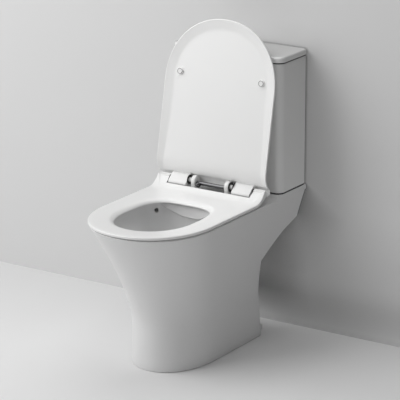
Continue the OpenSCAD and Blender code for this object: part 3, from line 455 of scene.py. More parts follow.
drop_y = pedestal_y - 0.006
weir_y = drop_y - bend_run(weir_h - outlet_h, fall)
climb_y = weir_y - bend_run(weir_h - trap_low, climb)
trap_route = ([(trap_start, trap_low)] + arc(climb_y, trap_low + trap_bend, trap_bend, -90, 60, 8)
              + arc(weir_y, weir_h - trap_bend, trap_bend, 150, -140, 16)
              + arc(drop_y, outlet_h + trap_bend, trap_bend, 190, 80, 10) + [(pedestal_y, outlet_h)])
bowl_shares = [0, 0.004, 0.012, 0.03, 0.06, 0.1, 0.15, 0.21, 0.28, 0.36, 0.45, 0.55, 0.66, 0.77, 0.87, 0.94]
bowl_levels = [(mix(bowl_floor, rim_h, t), pan_wall * (1 - t)) for t in bowl_shares]
bowl_outside = loft("bowl_outside", [bowl_ring(z, z - thick, pan_wall) for z, thick in bowl_levels]
                    + [bowl_ring(rim_h, rim_h + past, pan_wall)])
flush_h, flush_r, flush_wall, flush_drop = 0.381, 0.026, 0.009, 0.003
gasket_r, funnel_r = 0.045, 0.031
chamber_y, chamber_d, slot_half, slot_low, slot_high = 0.0495, 0.026, 0.028, 0.334, 0.348
slot_front, chamber_in = 0.0195, 0.0002


def flush_way(grow, name):
    """The flush's way from the cistern through the shelf to the chamber behind the bowl."""
    low = flush_h - flush_r - grow - flush_drop
    return [rod(name, (0, tank_y, low), (0, tank_y, plate_under + through), funnel_r + grow),
            rod(name, (0, chamber_y - grow + chamber_in, flush_h), (0, tank_y, flush_h), flush_r + grow),
            block(name, (-slot_half - grow, chamber_y - grow, slot_low - grow),
                  (slot_half + grow, chamber_y + chamber_d + grow, flush_h))]


jet_place, jet_turn, jet_deep = Vector((-0.103, 0.0055, 0.396)), math.radians(128), 0.026
jet_way = Vector((math.cos(jet_turn), math.sin(jet_turn), 0))
jet_tip = jet_place + jet_way * jet_deep
jet_feed = Vector((-0.008, 0.1175, 0.396))
jet_bore, jet_wall, jet_behind, jet_ahead, feed_bore = 0.007, 0.005, 0.012, 0.033, 0.005


def jet_run(name, grow):
    """The jet's short bore from the bowl's wall, and its feed from the flush way."""
    return [rod(name, jet_place - jet_way * jet_behind, jet_place + jet_way * jet_ahead, jet_bore + grow),
            rod(name, jet_tip, jet_feed, feed_bore + grow)]


def pair(name, x, y, low, high, r):
    """Two upright bars, the same distance left and right of the middle."""
    return [rod(name, (side * x, y, low), (side * x, y, high), r) for side in (-1, 1)]


hinge_half, boss_low, boss_r = 0.0775, rim_h - 0.044, 0.017
plug_hole, plug_floor, plug_over = 0.007, 0.006, 0.006
root_deep, outlet_deep, outlet_past = 0.040, 0.026, 0.5
kept = ([bowl_outside, route_tube("trap_outside", trap_route, trap_r + trap_wall),
         rod("gasket_seat", (0, tank_y, plate_under - flush_wall), (0, tank_y, shelf_h - past),
             gasket_r + flush_wall)]
        + spigot("spigot_root", pedestal_y - root_deep) + flush_way(flush_wall, "flush_outside")
        + pair("boss", hinge_half, hinge_y, boss_low, rim_h - through, boss_r)
        + jet_run("jet_outside", jet_wall))
combine(hollow, kept, "DIFFERENCE")

lip_round = 0.005
bowl_rings = [bowl_ring(z, z, 0) for z, thick in bowl_levels]
bowl_rings += [bowl_ring(rim_h, rim_h - drop, inset) for inset, drop in rolled(lip_round)]
bowl_rings += [bowl_ring(rim_h, rim_h + past, lip_round)]
bowl = loft("bowl", bowl_rings)


def bowl_rear(x, z):
    """How far back the bowl's wall is at a place across it and a height."""
    half, front, rear = bowl_sizes(z)
    return rear * (1 - share(abs(x) / half) ** bowl_power) ** (1 / bowl_power) + bowl_mid


hood_half, hood_flat, hood_end, hood_shoulder, hood_steps = 0.094, 0.020, 0.022, 0.005, 48
hood_low, hood_arch, hood_proud, hood_round, hood_top = 0.383, 0.030, 0.0125, 0.0045, rim_h - 0.0015
hood_deep, hood_lift = 0.009, 0.004
hood_edge = [math.radians(d) for d in (195, 210, 230, 250, 270)]
hood_rings = []
for k in range(hood_steps + 1):
    x = mix(-hood_half, hood_half, k / hood_steps)
    proud = hood_proud * share((hood_half - abs(x)) / hood_end) ** 0.5
    low = hood_low + hood_arch * share((abs(x) - hood_flat) / (hood_half - hood_flat)) ** 1.2
    face = [(bowl_rear(x, hood_top) - proud + hood_round, hood_top),
            (bowl_rear(x, hood_top) - proud, hood_top - hood_shoulder)]
    face += [(bowl_rear(x, z) - proud, z) for z in
             [mix(hood_top - hood_shoulder, low + hood_round, j / 4) for j in range(1, 5)]]
    face += [(bowl_rear(x, low) - proud + hood_round + hood_round * math.cos(a),
              low + hood_round + hood_round * math.sin(a)) for a in hood_edge]
    back = [(bowl_rear(x, low) + hood_deep, low + hood_lift), (bowl_rear(x, hood_top) + hood_deep, hood_top)]
    hood_rings.append([(x, y, z) for y, z in face + back])
hood = loft("hood", hood_rings)
bolt_x, shelf_bolt_hole, fill_hole, lug_hole_in = 0.080, 0.006, 0.022, 0.018
cuts = ([hollow, bowl, route_tube("trap_inside", trap_route, trap_r),
         rod("outlet", (0, pedestal_y - outlet_deep, outlet_h), (0, outlet_past, outlet_h), outlet_bore),
         rod("gasket_hole", (0, tank_y, plate_under), (0, tank_y, shelf_h + past), gasket_r)]
        + flush_way(0, "flush_inside")
        + [block("slot", (-slot_half, slot_front, slot_low), (slot_half, chamber_y + through, slot_high))]
        + jet_run("jet_inside", 0)
        + pair("plug_hole", hinge_half, hinge_y, boss_low + plug_floor, rim_h + plug_over, plug_hole)
        + pair("bolt_hole", bolt_x, tank_y, plate_under - through, shelf_h + past, shelf_bolt_hole)
        + [rod("fill_hole", (fill_x, tank_y, plate_under - through), (fill_x, tank_y, shelf_h + past),
               fill_hole)]
        + pair("lug_hole", lug_x, lug_end - lug_hole_in, -through, lug_h + past, lug_hole))
combine(pan, cuts, "DIFFERENCE")
combine(pan, [hood], "UNION")
soften(pan)
pan.data.materials.append(china)
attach(pan, "base")
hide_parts("pan_bowl", "pan_shelf", "pan_foot")

# Jet nozzle. A short moulded sleeve pressed into the hole in the bowl's wall, low on the left of
# the back, where the flush comes in.


def moulded(name, colour, rough, coat=0.0, grain=60):
    """Moulded plastic: even colour with a trace of flow, and a fine skin that breaks the gloss a little."""
    made, nodes, links, skin = new_material(name)
    put(skin, {"Coat Weight": coat, "Coat Roughness": rough * 0.5, "IOR": 1.49})
    where = nodes.new("ShaderNodeTexCoord")
    flow, fine = nodes.new("ShaderNodeTexNoise"), nodes.new("ShaderNodeTexNoise")
    put(flow, {"Scale": 7, "Detail": 4})
    put(fine, {"Scale": grain, "Detail": 3})
    tint, sheen = nodes.new("ShaderNodeMix"), nodes.new("ShaderNodeMapRange")
    bump = nodes.new("ShaderNodeBump")
    tint.data_type = "RGBA"
    put(tint, {"A": (*[c * 0.98 for c in colour], 1), "B": (*colour, 1)})
    put(sheen, {"To Min": rough * 0.85, "To Max": rough * 1.2})
    put(bump, {"Strength": 0.04, "Distance": 0.001})
    for noise in (flow, fine):
        links.new(where.outputs["Object"], noise.inputs["Vector"])
    links.new(flow.outputs["Fac"], tint.inputs["Factor"])
    links.new(tint.outputs["Result"], skin.inputs["Base Color"])
    links.new(fine.outputs["Fac"], sheen.inputs["Value"])
    links.new(sheen.outputs["Result"], skin.inputs["Roughness"])
    links.new(fine.outputs["Fac"], bump.inputs["Height"])
    links.new(bump.outputs["Normal"], skin.inputs["Normal"])
    return made


def finish_nodes(material, *names):
    """Gives CAD pieces whose shape is right their material."""
    for name in names:
        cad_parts[name].data.materials.clear()
        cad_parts[name].data.materials.append(material)


def dress(piece, material, body, slot, *nodes):
    """A finished piece's material, the body it moves with, and the CAD pieces that it stands for."""
    piece.data.materials.clear()
    piece.data.materials.append(material)
    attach(piece, body)
    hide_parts(*nodes)


sleeve_plastic = moulded("sleeve_plastic", (0.70, 0.70, 0.69), 0.35)
finish_nodes(sleeve_plastic, "jet_nozzle")

# Coupling. Two steel bolts with rubber seals, plates and brass wing nuts pull the cistern down on
# a thick rubber gasket round the flush valve's nut.


def rubber(name, colour, rough=0.7):
    """Moulded rubber: dull, with a dusty bloom and a fine pebbled skin."""
    made = moulded(name, colour, rough, grain=240)
    put(made.node_tree.nodes["Principled BSDF"], {"Sheen Weight": 0.15})
    put(made.node_tree.nodes["Bump"], {"Strength": 0.15})
    return made


def metal(name, colour, rough, streak=(1, 1, 1)):
    """Bare metal: rolled or brushed along one axis, so that the sheen changes in fine streaks."""
    made, nodes, links, skin = new_material(name)
    put(skin, {"Base Color": (*colour, 1), "Metallic": 1})
    where, turn = nodes.new("ShaderNodeTexCoord"), nodes.new("ShaderNodeMapping")
    brushed = nodes.new("ShaderNodeTexNoise")
    put(turn, {"Scale": streak})
    put(brushed, {"Scale": 90, "Detail": 4})
    sheen = nodes.new("ShaderNodeMapRange")
    put(sheen, {"To Min": rough * 0.7, "To Max": rough * 1.4})
    links.new(where.outputs["Object"], turn.inputs["Vector"])
    links.new(turn.outputs["Vector"], brushed.inputs["Vector"])
    links.new(brushed.outputs["Fac"], sheen.inputs["Value"])
    links.new(sheen.outputs["Result"], skin.inputs["Roughness"])
    return made


black_rubber = rubber("black_rubber", (0.03, 0.03, 0.032))
grey_rubber = rubber("grey_rubber", (0.22, 0.22, 0.22))
plated_steel = metal("plated_steel", (0.60, 0.61, 0.63), 0.25, (1, 1, 12))
cast_brass = metal("cast_brass", (0.66, 0.47, 0.20), 0.38)
finish_nodes(black_rubber, "coupling_gasket", "bolt_seals")
finish_nodes(plated_steel, "coupling_bolts", "bolt_plates")
finish_nodes(cast_brass, "coupling_wing_nuts")

# Cistern. A slip-cast china tank, open at the top, a little narrower towards its foot, with soft
# upright corners. A black strip in the joint under its rolled foot is painted shadow that darkens the joint.
tank_h, tank_taper, tank_wall, tank_floor = 0.378, 0.005, 0.009, 0.012
tank_round, back_round = 0.022, 0.008


def box_ring(half, front, back, r, back_r, level, steps=10):
    outline = (arc(r - half, front + r, r, 180, 90, steps) + arc(half - r, front + r, r, 270, 90, steps)
               + arc(half - back_r, back - back_r, back_r, 0, 90, steps)
               + arc(back_r - half, back - back_r, back_r, 90, 90, steps))
    return [(x, y, level) for x, y in outline]


def tank_ring(h, inset, least=0.002):
    front = half_length - tank_d + tank_taper * (1 - h / tank_h)
    return box_ring(tank_w / 2 - inset, front + inset, half_length - inset,
                    max(least, tank_round - inset), max(least, back_round - inset), shelf_h + h)


foot_roll, mouth_round, joint_h, joint_deep, floor_round = 0.003, 0.0015, 0.0034, 0.008, 0.008
tank_rings = [tank_ring(0, joint_deep), tank_ring(joint_h, joint_deep)]
tank_rings += [tank_ring(joint_h + rise, inset) for rise, inset in rolled(foot_roll)]
tank_rings += [tank_ring(tank_h * k / 6, 0) for k in range(1, 6)]
tank_rings += [tank_ring(tank_h - drop, inset) for inset, drop in rolled(mouth_round)]
tank = loft("tank_body", tank_rings)
inside = [tank_ring(tank_floor + rise, tank_wall + inset) for rise, inset in rolled(floor_round)]
inside += [tank_ring(tank_h - mouth_round, tank_wall), tank_ring(tank_h, tank_wall - mouth_round),
           tank_ring(tank_h + past, tank_wall - mouth_round)]
tail_hole, shank_hole, bolt_hole = 0.029, 0.0125, 0.005
holes = [rod("hole", (x, tank_y, shelf_h - through), (x, tank_y, shelf_h + tank_floor + through), r)
         for x, r in ((0, tail_hole), (fill_x, shank_hole), (-bolt_x, bolt_hole), (bolt_x, bolt_hole))]
combine(tank, [loft("inside", inside)] + holes, "DIFFERENCE")
soften(tank)
dress(tank, china, "base", "glazed_china", "cistern_tank")
strip_wide, strip_up, strip_in = 0.004, 0.0010, 0.0012


def painted_shadow_strip(name, make_ring, low, high, inset):
    """A thin dark strip of painted shadow that fills a joint, set a little behind the china's face."""
    strip = loft(name, [make_ring(z, inset) for z in (low, high)])
    core = loft("core", [make_ring(z, inset + strip_wide) for z in (low - through, high + through)])
    combine(strip, [core], "DIFFERENCE")
    strip.data.materials.clear()
    strip.data.materials.append(black_rubber)
    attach(strip, "base")


painted_shadow_strip("foot_shadow_strip", lambda z, inset: tank_ring(z - shelf_h, inset), shelf_h, shelf_h + joint_h + strip_up,
     strip_in)

# Flush valve and fill valve. Moulded plastic with a red lip seal: the tower holds an overflow tube
# that the long button lifts through a rocker, and a float shuts the fill valve through a lever.
valve_white = moulded("valve_white", (0.78, 0.78, 0.76), 0.4)
valve_blue = moulded("valve_blue", (0.10, 0.20, 0.38), 0.4)
float_yellow = moulded("float_yellow", (0.62, 0.43, 0.07), 0.45)
seal_red = rubber("seal_red", (0.36, 0.03, 0.02), 0.55)
finish_nodes(valve_white, "flush_valve_body", "flush_valve_nut", "flush_rocker", "fill_valve_body",
             "fill_valve_nut", "bezel_nut", "float_lever", "full_flush_rod", "half_flush_rod")
finish_nodes(valve_blue, "overflow_tube", "fill_valve_cap")
finish_nodes(float_yellow, "float_cup")
finish_nodes(seal_red, "flush_seal")
finish_nodes(black_rubber, "flush_valve_washer", "fill_valve_seal")
finish_nodes(plated_steel, "rocker_pin", "lever_pin")

# Cistern lid. A china slab with a soft upper edge that stands a little over the tank, located by
# a lip inside the tank's walls, with a hole for the buttons.
cap_h, cap_over, cap_edge, cap_lip, cap_shell = 0.019, 0.002, 0.006, 0.008, 0.007
tank_top = shelf_h + tank_h
cap_top = tank_top + cap_h
cap_back_in, cap_corner, lip_r, under_r, lip_back_r = 0.004, 0.6, 0.010, 0.006, 0.004


def cap_ring(level, inset):
    return box_ring(tank_w / 2 + cap_over - inset, half_length - tank_d - cap_over + inset,
                    half_length - min(inset, cap_back_in), tank_round + cap_over - inset * cap_corner,
                    back_round, level)


def tank_box(name, inset, r, low, high):
    """An upright box with round corners, its sides drawn in from the tank's."""
    return loft(name, [box_ring(tank_w / 2 - inset, half_length - tank_d + inset, half_length - inset,
                                r, lip_back_r, z) for z in (low, high)])


cap_gap, cap_foot_round, button_hole = 0.0030, 0.0006, 0.025
cap_low = tank_top + cap_gap
cap_rings = [cap_ring(cap_low + rise, inset) for inset, rise in reversed(rolled(cap_foot_round))]
cap_rings += [cap_ring(cap_top - drop, inset) for inset, drop in rolled(cap_edge)]
cap = loft("cistern_cap", cap_rings)
lip_in, under_in = tank_wall + 0.002, tank_wall + 0.012
lip = tank_box("lip", lip_in, lip_r, tank_top - cap_lip, cap_low)
under = tank_box("under", under_in, under_r, tank_top - cap_lip - through, cap_top - cap_shell)
combine(cap, [lip], "UNION")
combine(cap, [under, rod("hole", (0, tank_y, tank_top), (0, tank_y, cap_top + past), button_hole)],
        "DIFFERENCE")
soften(cap)
dress(cap, china, "base", "glazed_china", "cistern_lid")
# A black strip of painted shadow darkens the gap under the lid's foot.
cap_strip_low, cap_strip_up, cap_strip_in = 0.0004, 0.0002, 0.0016
painted_shadow_strip("lid_shadow_strip", cap_ring, tank_top - cap_strip_low, cap_low + cap_strip_up, cap_strip_in)

# Buttons. A chromed ring is clamped in the lid by a nut from below, and holds a long and a short
# button, both chromed plastic, split by a narrow gap.
chrome = metal("chrome", (0.80, 0.81, 0.83), 0.06)
finish_nodes(chrome, "button_bezel", "full_flush_button", "half_flush_button")

# Hinge posts. White moulded knuckles on foot plates, each on a grey pad, held by a steel stud that
# spreads a rubber plug in the china. A dark metal bar with a ball on it joins them.
gloss_white = moulded("gloss_white", (0.82, 0.82, 0.815), 0.32, 0.1)
post_in, post_w, post_r, foot_t, foot_r, pad_h = 0.049, 0.0125, 0.0155, 0.0055, 0.015, 0.0015
axle_r, axle_in, axle_out, running, hair = 0.004, 0.0585, 0.080, 0.00005, 0.00001
stud_r, stud_deep, arm_round = 0.003, 0.008, 0.0008
bar_r, bar_drop, bar_set, bar_right, bar_gap = 0.0055, 0.0045, 0.0015, 0.056, 0.0005
post_edge = ((0, 0.0012), (0.0003, 0.0005), (0.0012, 0), (post_w / 2, 0), (post_w - 0.0012, 0),
             (post_w - 0.0003, 0.0005), (post_w, 0.0012))
base_z = rim_h + pad_h


def axle_rod(name, side, start, end, r):
    """A round bar on the hinge's axis, between two distances from the middle."""
    return rod(name, (side * start, hinge_y, hinge_z), (side * end, hinge_y, hinge_z), r)


def post_ring(x, inset):
    """The knuckle's outline: a round top on a straight foot."""
    r, flat = post_r - inset, post_r - 0.002 - inset
    top = [math.radians(-20 + 220 * k / 40) for k in range(41)]
    outline = [(hinge_y - flat, base_z), (hinge_y + flat, base_z)]
    outline += [(hinge_y + r * math.cos(a), hinge_z + r * math.sin(a)) for a in top]
    return [(x, y, z) for y, z in outline]


for side, name in ((-1, "hinge_post_left"), (1, "hinge_post_right")):
    stud_x, bar_y, bar_z = side * hinge_half, hinge_y - bar_set, hinge_z - bar_drop
    post = loft(name + "_knuckle", [post_ring(side * (post_in + x), inset) for x, inset in post_edge])
    foot = rod("foot", (stud_x, hinge_y, base_z), (stud_x, hinge_y, base_z + foot_t), foot_r)
    arm = block("arm", (min(side * post_in, stud_x), hinge_y - foot_r, base_z),
                (max(side * post_in, stud_x), hinge_y + foot_r, base_z + foot_t), arm_round, 2)
    combine(post, [foot, arm], "UNION")
    bores = [axle_rod("axle_bore", side, axle_in - hair, axle_out, axle_r + running),
             rod("bar_bore", (side * (post_in - through), bar_y, bar_z),
                 (side * (bar_right + bar_gap), bar_y, bar_z), bar_r + running),
             rod("stud_bore", (stud_x, hinge_y, base_z - through), (stud_x, hinge_y, base_z + stud_deep),
                 stud_r + running)]
    combine(post, bores, "DIFFERENCE")
    soften(post)
    dress(post, gloss_white, "base", "hinge_plastic", name)
finish_nodes(grey_rubber, "hinge_pads")
finish_nodes(plated_steel, "hinge_studs", "hinge_axles")
finish_nodes(black_rubber, "expanding_plugs")
spacer_plastic = moulded("spacer_plastic", (0.80, 0.80, 0.79), 0.3)
finish_nodes(spacer_plastic, "seat_bushes")
finish_nodes(metal("dark_bar", (0.16, 0.16, 0.165), 0.32, (12, 1, 1)), "release_bar")
ball_at, ball_r = Vector((-0.0385, hinge_y - 0.0130, hinge_z - 0.0070)), 0.0076
bm = bmesh.new()
bmesh.ops.create_uvsphere(bm, u_segments=48, v_segments=32, radius=ball_r)
bmesh.ops.translate(bm, vec=ball_at, verts=bm.verts)
ball = soften(place(bm, "ball"))
dress(ball, metal("dark_ball", (0.09, 0.09, 0.093), 0.1), "release", "polished_metal", "ball_knob")

# Spacers. A white plastic sleeve on each axle keeps the turning barrel off its post. A thin black disc
# at both ends of it is painted shadow, so that the gaps beside the sleeve are dark.
post_out, spacer_end = post_in + post_w + 0.0001, 0.0757
spacer_r, shadow_disc_r, shadow_disc_t = 0.0065, 0.0140, 0.0007
sleeves = []
for side in (-1, 1):
    for x in (post_out, spacer_end - shadow_disc_t):
        ring = axle_rod("gap_shadow_disc", side, x, x + shadow_disc_t, shadow_disc_r)
        soften(ring)
        ring.data.materials.append(black_rubber)
        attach(ring, "base")
    sleeves.append(axle_rod("sleeve", side, post_out + shadow_disc_t, spacer_end - shadow_disc_t, spacer_r))
sleeves = soften(joined("axle_sleeves", sleeves))
dress(sleeves, spacer_plastic, "base", "spacer_plastic", "axle_spacers")

# Seat. A slim moulded ring in white gloss plastic: flat on top, with a wide soft roll into the
# opening, and rising behind in a ramp to two ears that turn on the hinge axles.
seat_white = moulded("seat_white", (0.90, 0.90, 0.895), 0.34, 0.08)
seat_under, seat_t = rim_h + 0.004, 0.008
seat_top = seat_under + seat_t
seat_half, seat_curve, ear_back, ear_round, ear_in = 0.1785, 0.200, 0.007, 0.009, 0.1386
hole_half, hole_len, hole_front, round_power = 0.109, 0.284, -half_length + 0.0705, 2.1
front_share, back_power = 0.475, 3.4
hole_mid = hole_front + hole_len * front_share
ramp_h, ramp_under, ramp_len, ramp_full, ramp_power = 0.030, 0.019, 0.058, 0.005, 2.5


def ramp(d, h):
    """How far the seat has risen by a height h at the hinge, at a distance in front of it."""
    return h * share((ramp_len - d) / (ramp_len - ramp_full)) ** ramp_power


def bow_outline(half, front, curve, back, corner, side_steps=28, rear_steps=24):
    """A round front, straight sides and rounded back corners, anticlockwise from the left."""
    nose = nose_line(half, front, curve, round_power)
    start, end = front + curve, back - corner
    side = [(half, mix(start, end, 1 - (1 - k / side_steps) ** 1.4)) for k in range(1, side_steps)]
    rear = [(mix(half - corner, corner - half, k / rear_steps), back) for k in range(1, rear_steps)]
    return (nose + side + arc(half - corner, back - corner, corner, 0, 90, 8) + rear
            + arc(corner - half, back - corner, corner, 90, 90, 8) + [(-x, y) for x, y in reversed(side)])


def hole_point(x, y):
    """The point of the opening's edge that lies on the line from its middle to a point outside."""
    dx, dy = x, y - hole_mid
    reach, power = (1 - front_share, back_power) if dy > 0 else (front_share, round_power)
    size = ((abs(dx) / hole_half) ** power + (abs(dy) / (reach * hole_len)) ** power) ** (1 / power)
    return dx / size, hole_mid + dy / size


# Points of the seat's section: how far in from the outer edge, or from the opening, or the share
# of the width between; the depth under the top; and how much it rises with the underside.
outer_edge = [(1.6, 8, 1), (0.5, 7.5, 0.95), (0.05, 6.4, 0.8), (0, 4, 0.5), (0.1, 2.6, 0.2), (0.7, 1.2, 0.05),
              (1.8, 0.35, 0), (3.5, 0, 0)]
top_shares = (0.2, 0.3, 0.4, 0.5, 0.6)
inner_edge = [(19, 0, 0), (15, 0.25, 0), (12, 0.75, 0), (9.2, 1.6, 0), (6.8, 2.7, 0), (4.6, 4.1, 0.05),
              (2.7, 5.8, 0.2), (1.3, 7.5, 0.4), (0.4, 9.2, 0.7), (0.1, 10.4, 0.9), (0.5, 11.3, 1),
              (1.6, 11.5, 1), (8.5, 11.5, 1), (10.5, 10.5, 1), (12, 8, 1)]
mm = 0.001


def seat_section(x, y):
    ix, iy = hole_point(x, y)
    wide = math.hypot(ix - x, iy - y)
    ux, uy = (ix - x) / wide, (iy - y) / wide
    marks = [(a * mm, depth, low) for a, depth, low in outer_edge]
    marks += [(wide * t, 0, 0) for t in top_shares]
    marks += [(wide - a * mm, depth, low) for a, depth, low in inner_edge]
    marks += [(wide * t, 8, 1) for t in reversed(top_shares)]
    points = []
    for a, depth, low in marks:
        px, py = x + ux * a, y + uy * a
        d = hinge_y - py
        points.append((px, py, seat_top - depth * mm + mix(ramp(d, ramp_h), ramp(d, ramp_under), low)))
    return points


seat_line = bow_outline(seat_half, -half_length, seat_curve, hinge_y + ear_back, ear_round)
seat = loft("seat_body", [seat_section(x, y) for x, y in seat_line], closed=True)

# Between the ears the ramp is cut away behind a line in front of the hinge, with a small round
# where the cut meets the top, and each ear is bored for its bush.
notch, notch_r, bush_end, bush_r = 0.0225, 0.0012, 0.1731, 0.005
notch_z = seat_top + ramp(notch, ramp_h)
steep = ramp_power * ramp_h / (ramp_len - ramp_full)
notch_slope = math.atan(steep * ((ramp_len - notch) / (ramp_len - ramp_full)) ** (ramp_power - 1))
notch_sink = notch_r / math.tan((math.pi / 2 - notch_slope) / 2)
cut_back, cut_front, cut_top, cut_low = hinge_y + 0.02, hinge_y - notch, notch_z + 0.03, seat_under - 0.01
cut = [(cut_back, cut_top), (cut_back, cut_low), (cut_front, cut_low)]
cut += arc(cut_front - notch_r, notch_z - notch_sink, notch_r, 0, 90 + math.degrees(notch_slope), 8)
cut += [(cut[-1][0], cut_top)]
notch_cut = loft("notch", [[(x, y, z) for y, z in cut] for x in (-ear_in, ear_in)])
bush_bores = [axle_rod("bush_bore", side, ear_in - through, bush_end, bush_r) for side in (-1, 1)]
combine(seat, [notch_cut] + bush_bores, "DIFFERENCE")
soften(seat, 40)
dress(seat, seat_white, "seat", "seat_plastic", "seat_ring")
# A thin black sheet on the inner face of each ear is painted shadow in the gap beside the barrel's end.
shadow_sheet_out, shadow_sheet_in = 0.0007, 0.0002
shadow_sheet_line = [(21, -12.5), (17, -8.5), (12, -3), (8, 2), (5, 5.6), (-6, 5.6), (-6, -12.5)]
for side in (-1, 1):
    shadow_sheet = loft("ear_shadow_sheet", [[(side * x, hinge_y - f * mm, hinge_z + u * mm) for f, u in shadow_sheet_line]
                             for x in (ear_in - shadow_sheet_out, ear_in + shadow_sheet_in)])
    shadow_sheet.data.materials.append(black_rubber)
    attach(shadow_sheet, "seat")

# Buffers. Soft off-white rubber pads with a rolled edge: four pressed into the seat's underside,
# and two in the lid, each with a thin grey ring on its face that is painted shade, standing for a groove.
soft_white = rubber("soft_white", (0.88, 0.88, 0.875), 0.45)


def spun(name, profile, foot, way, steps=64):
    """A round piece: a profile of (radius, height) points spun about an axis from its foot."""
    bm = bmesh.new()
    chain = [bm.verts.new((r, 0, h)) for r, h in profile]
    edges = [bm.edges.new(pair) for pair in zip(chain, chain[1:])]
    bmesh.ops.spin(bm, geom=chain + edges, cent=(0, 0, 0), axis=(0, 0, 1), dvec=(0, 0, 0), angle=math.tau,
                   steps=steps, use_merge=True, use_duplicate=False)
    bmesh.ops.remove_doubles(bm, verts=bm.verts, dist=1e-6)
    bmesh.ops.recalc_face_normals(bm, faces=bm.faces)
    turn = Vector(way).to_track_quat("Z", "Y").to_matrix().to_4x4()
    bmesh.ops.transform(bm, matrix=Matrix.Translation(Vector(foot)) @ turn, verts=bm.verts)
    return place(bm, name)


def pad(name, r, h, foot, way):
    """A soft pad: a round plug with a rolled edge and a shallow groove round its middle."""
    edge = [(r, h - 0.0008), (r - 0.0003, h - 0.0003), (r - 0.0009, h), (0.62 * r, h), (0.56 * r, h - 0.0004)]
    return spun(name, [(0, 0), (r - 0.0003, 0), (r, 0.0003)] + edge + [(0, h - 0.0004)], foot, way)


seat_pad_r, seat_pad_h = 0.007, 0.0039
pad_places = ((0.104, hole_front + 0.020), (0.146, 0.0555))
seat_pads = joined("seat_pads", [pad("pad", seat_pad_r, seat_pad_h, (side * x, y, seat_under), (0, 0, -1))
                                 for side in (-1, 1) for x, y in pad_places])
soften(seat_pads)
dress(seat_pads, soft_white, "seat", "buffer_rubber", "seat_buffers")

# Lid. A thin moulded cover in the same plastic, dished inside with a sloping band behind its lip,
# that stands open just past upright. It is shaped shut and then turned about the hinge.
lid_half, lid_reach, lid_curve, lid_back, lid_open = 0.1815, 0.464, 0.188, 0.010, math.radians(101)
lid_level, lid_rise_len, lid_rise_in = seat_top + 0.0043, 0.150, 30
lid_mid = Vector((0, hinge_y - lid_reach * 0.5))

# The lid's two faces, in millimetres: how far in from its edge, and how far up from its rim.
under_profile = [(150, 5.4), (110, 5.4), (80, 5.4), (60, 5.4), (46, 5.4), (38, 5.4), (33, 5.35), (29.5, 5.15),
                 (26.5, 4.8), (23, 4.2), (19, 3.4), (15, 2.6), (11, 1.85), (8, 1.3), (6, 0.9), (4.8, 0.6),
                 (4, 0.3), (3.2, 0.08), (2.4, 0)]
over_profile = [(1.4, 0.15), (0.7, 0.6), (0.2, 1.4), (0, 2.6), (0.15, 4), (0.7, 5.5), (1.8, 6.9), (3.6, 7.8),
                (7, 8.7), (14, 9.9), (21, 10.8), (28, 11.5), (36, 12.1), (45, 12.55), (57, 12.95), (70, 13.2),
                (85, 13.4), (100, 13.5), (125, 13.5), (150, 13.5)]


def lid_ring(inset, h, over):
    points = []
    for x, y in bow_outline(lid_half, hinge_y - lid_reach, lid_curve, hinge_y + lid_back, ear_round):
        way = lid_mid - Vector((x, y))
        px, py = Vector((x, y)) + way * min(inset * mm / way.length, 0.9)
        d = hinge_y - py
        rise = ramp(d, ramp_h)
        if over:
            slope = share((lid_rise_len - d) / lid_rise_len) ** 2
            rise = max(rise, ramp_h * slope * share(inset / lid_rise_in))
        points.append((px, py, lid_level + h * mm + rise))
    return points


opening = (Matrix.Translation((0, hinge_y, hinge_z)) @ Matrix.Rotation(-lid_open, 4, "X")
           @ Matrix.Translation((0, -hinge_y, -hinge_z)))
lid = loft("lid_body", [lid_ring(a, h, False) for a, h in under_profile]
           + [lid_ring(a, h, True) for a, h in over_profile])
bed_r, bed_in, bed_end = 0.0155, 0.0016, 0.3
combine(lid, [axle_rod("ear_bed", side, ear_in - bed_in, bed_end, bed_r) for side in (-1, 1)], "DIFFERENCE")
lid.data.transform(opening)

# The recess behind the hinge, cut from the open lid: millimetres in front of the hinge and above.
recess_line = [(7.5, 32), (5.6, 28), (3.4, 24.2), (0.6, 21.2), (-3, 18.6), (-7, 16.2), (-10.8, 13),
               (-13.8, 8.6), (-15.7, 3), (-16.2, -3), (-15.5, -13), (-15, -30), (40, -30), (40, 40)]
combine(lid, [loft("recess_cut", [[(x, hinge_y - f * mm, hinge_z + u * mm) for f, u in recess_line]
                                  for x in (-spacer_end, spacer_end)])], "DIFFERENCE")
soften(lid, 40)
dress(lid, seat_white, "lid", "seat_plastic", "lid_cover")

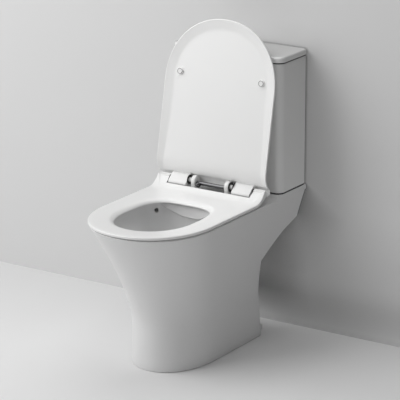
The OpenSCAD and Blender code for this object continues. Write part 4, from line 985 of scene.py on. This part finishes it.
pad_x, pad_far, pad_r, pad_long, pad_pocket = 0.134, 0.302, 0.0088, 0.0050, seat_top + 0.0097
shade_ring_in, shade_ring_out, shade_ring_half = 0.0068, 0.0082, 0.0002
lid_pads = [pad("pad", pad_r, pad_long, (side * pad_x, hinge_y - pad_far, pad_pocket), (0, 0, -1))
            for side in (-1, 1)]
lid_pads = joined("lid_pads", lid_pads)
lid_pads.data.transform(opening)
soften(lid_pads)
dress(lid_pads, soft_white, "lid", "buffer_rubber", "lid_buffers")
# A thin grey ring on each lid pad's face is painted shade, standing for the shadow of a groove.
shade_ring_line = [(shade_ring_in, -shade_ring_half), (shade_ring_in, shade_ring_half), (shade_ring_out, shade_ring_half), (shade_ring_out, -shade_ring_half)]
for side in (-1, 1):
    ring = spun("pad_shade_ring", shade_ring_line, (side * pad_x, hinge_y - pad_far, pad_pocket - pad_long), (0, 0, -1))
    ring.data.transform(opening)
    ring.data.materials.append(grey_rubber)
    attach(ring, "lid")

# Lid barrels. Two thick moulded ends of the lid that turn on the axles, each with a slow-closing
# damper in it, flat on the side that is on top when the lid is up.
barrel_in, barrel_w, end_round, core_r, section_r = 0.076, 0.0590, 0.0008, 0.006, 18
barrel_section = [(-13.3, -18.8), (-10.5, -18.2), (-8.5, -17.6), (2.25, -8.9), (13, 0), (15, 3), (16, 8),
                  (18.5, 10.4), (9, 19.3), (0, 21.3), (-9, 19.3), (-15, 15), (-19, 9), (-21, 0), (-19.5, -9),
                  (-18.2, -14.5), (-16.7, -17.6)]


def cut_corners(points, times=2, near=0.2):
    """Rounds a closed outline: each side keeps its middle, and its ends are drawn in by a share."""
    for _ in range(times):
        sides = zip(points, points[1:] + points[:1])
        points = [(mix(ax, bx, t), mix(ay, by, t)) for (ax, ay), (bx, by) in sides for t in (near, 1 - near)]
    return points


soft_section = cut_corners(barrel_section)
ends = [(x, inset / mm) for x, inset in rolled(end_round)]
ends += [(barrel_w / 2, 0)] + [(barrel_w - x, inset) for x, inset in reversed(ends)]
for side, name in ((-1, "left_barrel"), (1, "right_barrel")):
    rings = []
    for x, inset in ends:
        k = 1 - inset / section_r
        rings.append([(side * (barrel_in + x), hinge_y - f * k * mm, hinge_z + u * k * mm)
                      for f, u in soft_section])
    barrel = loft(name, rings)
    bore = axle_rod("core_bore", side, barrel_in - through, barrel_in + barrel_w + through, core_r + running)
    combine(barrel, [bore], "DIFFERENCE")
    barrel.data.transform(opening)
    soften(barrel, 30)
    dress(barrel, gloss_white, "lid", "hinge_plastic", "lid_barrels")
finish_nodes(moulded("damper_plastic", (0.03, 0.03, 0.033), 0.4), "damper_cores")
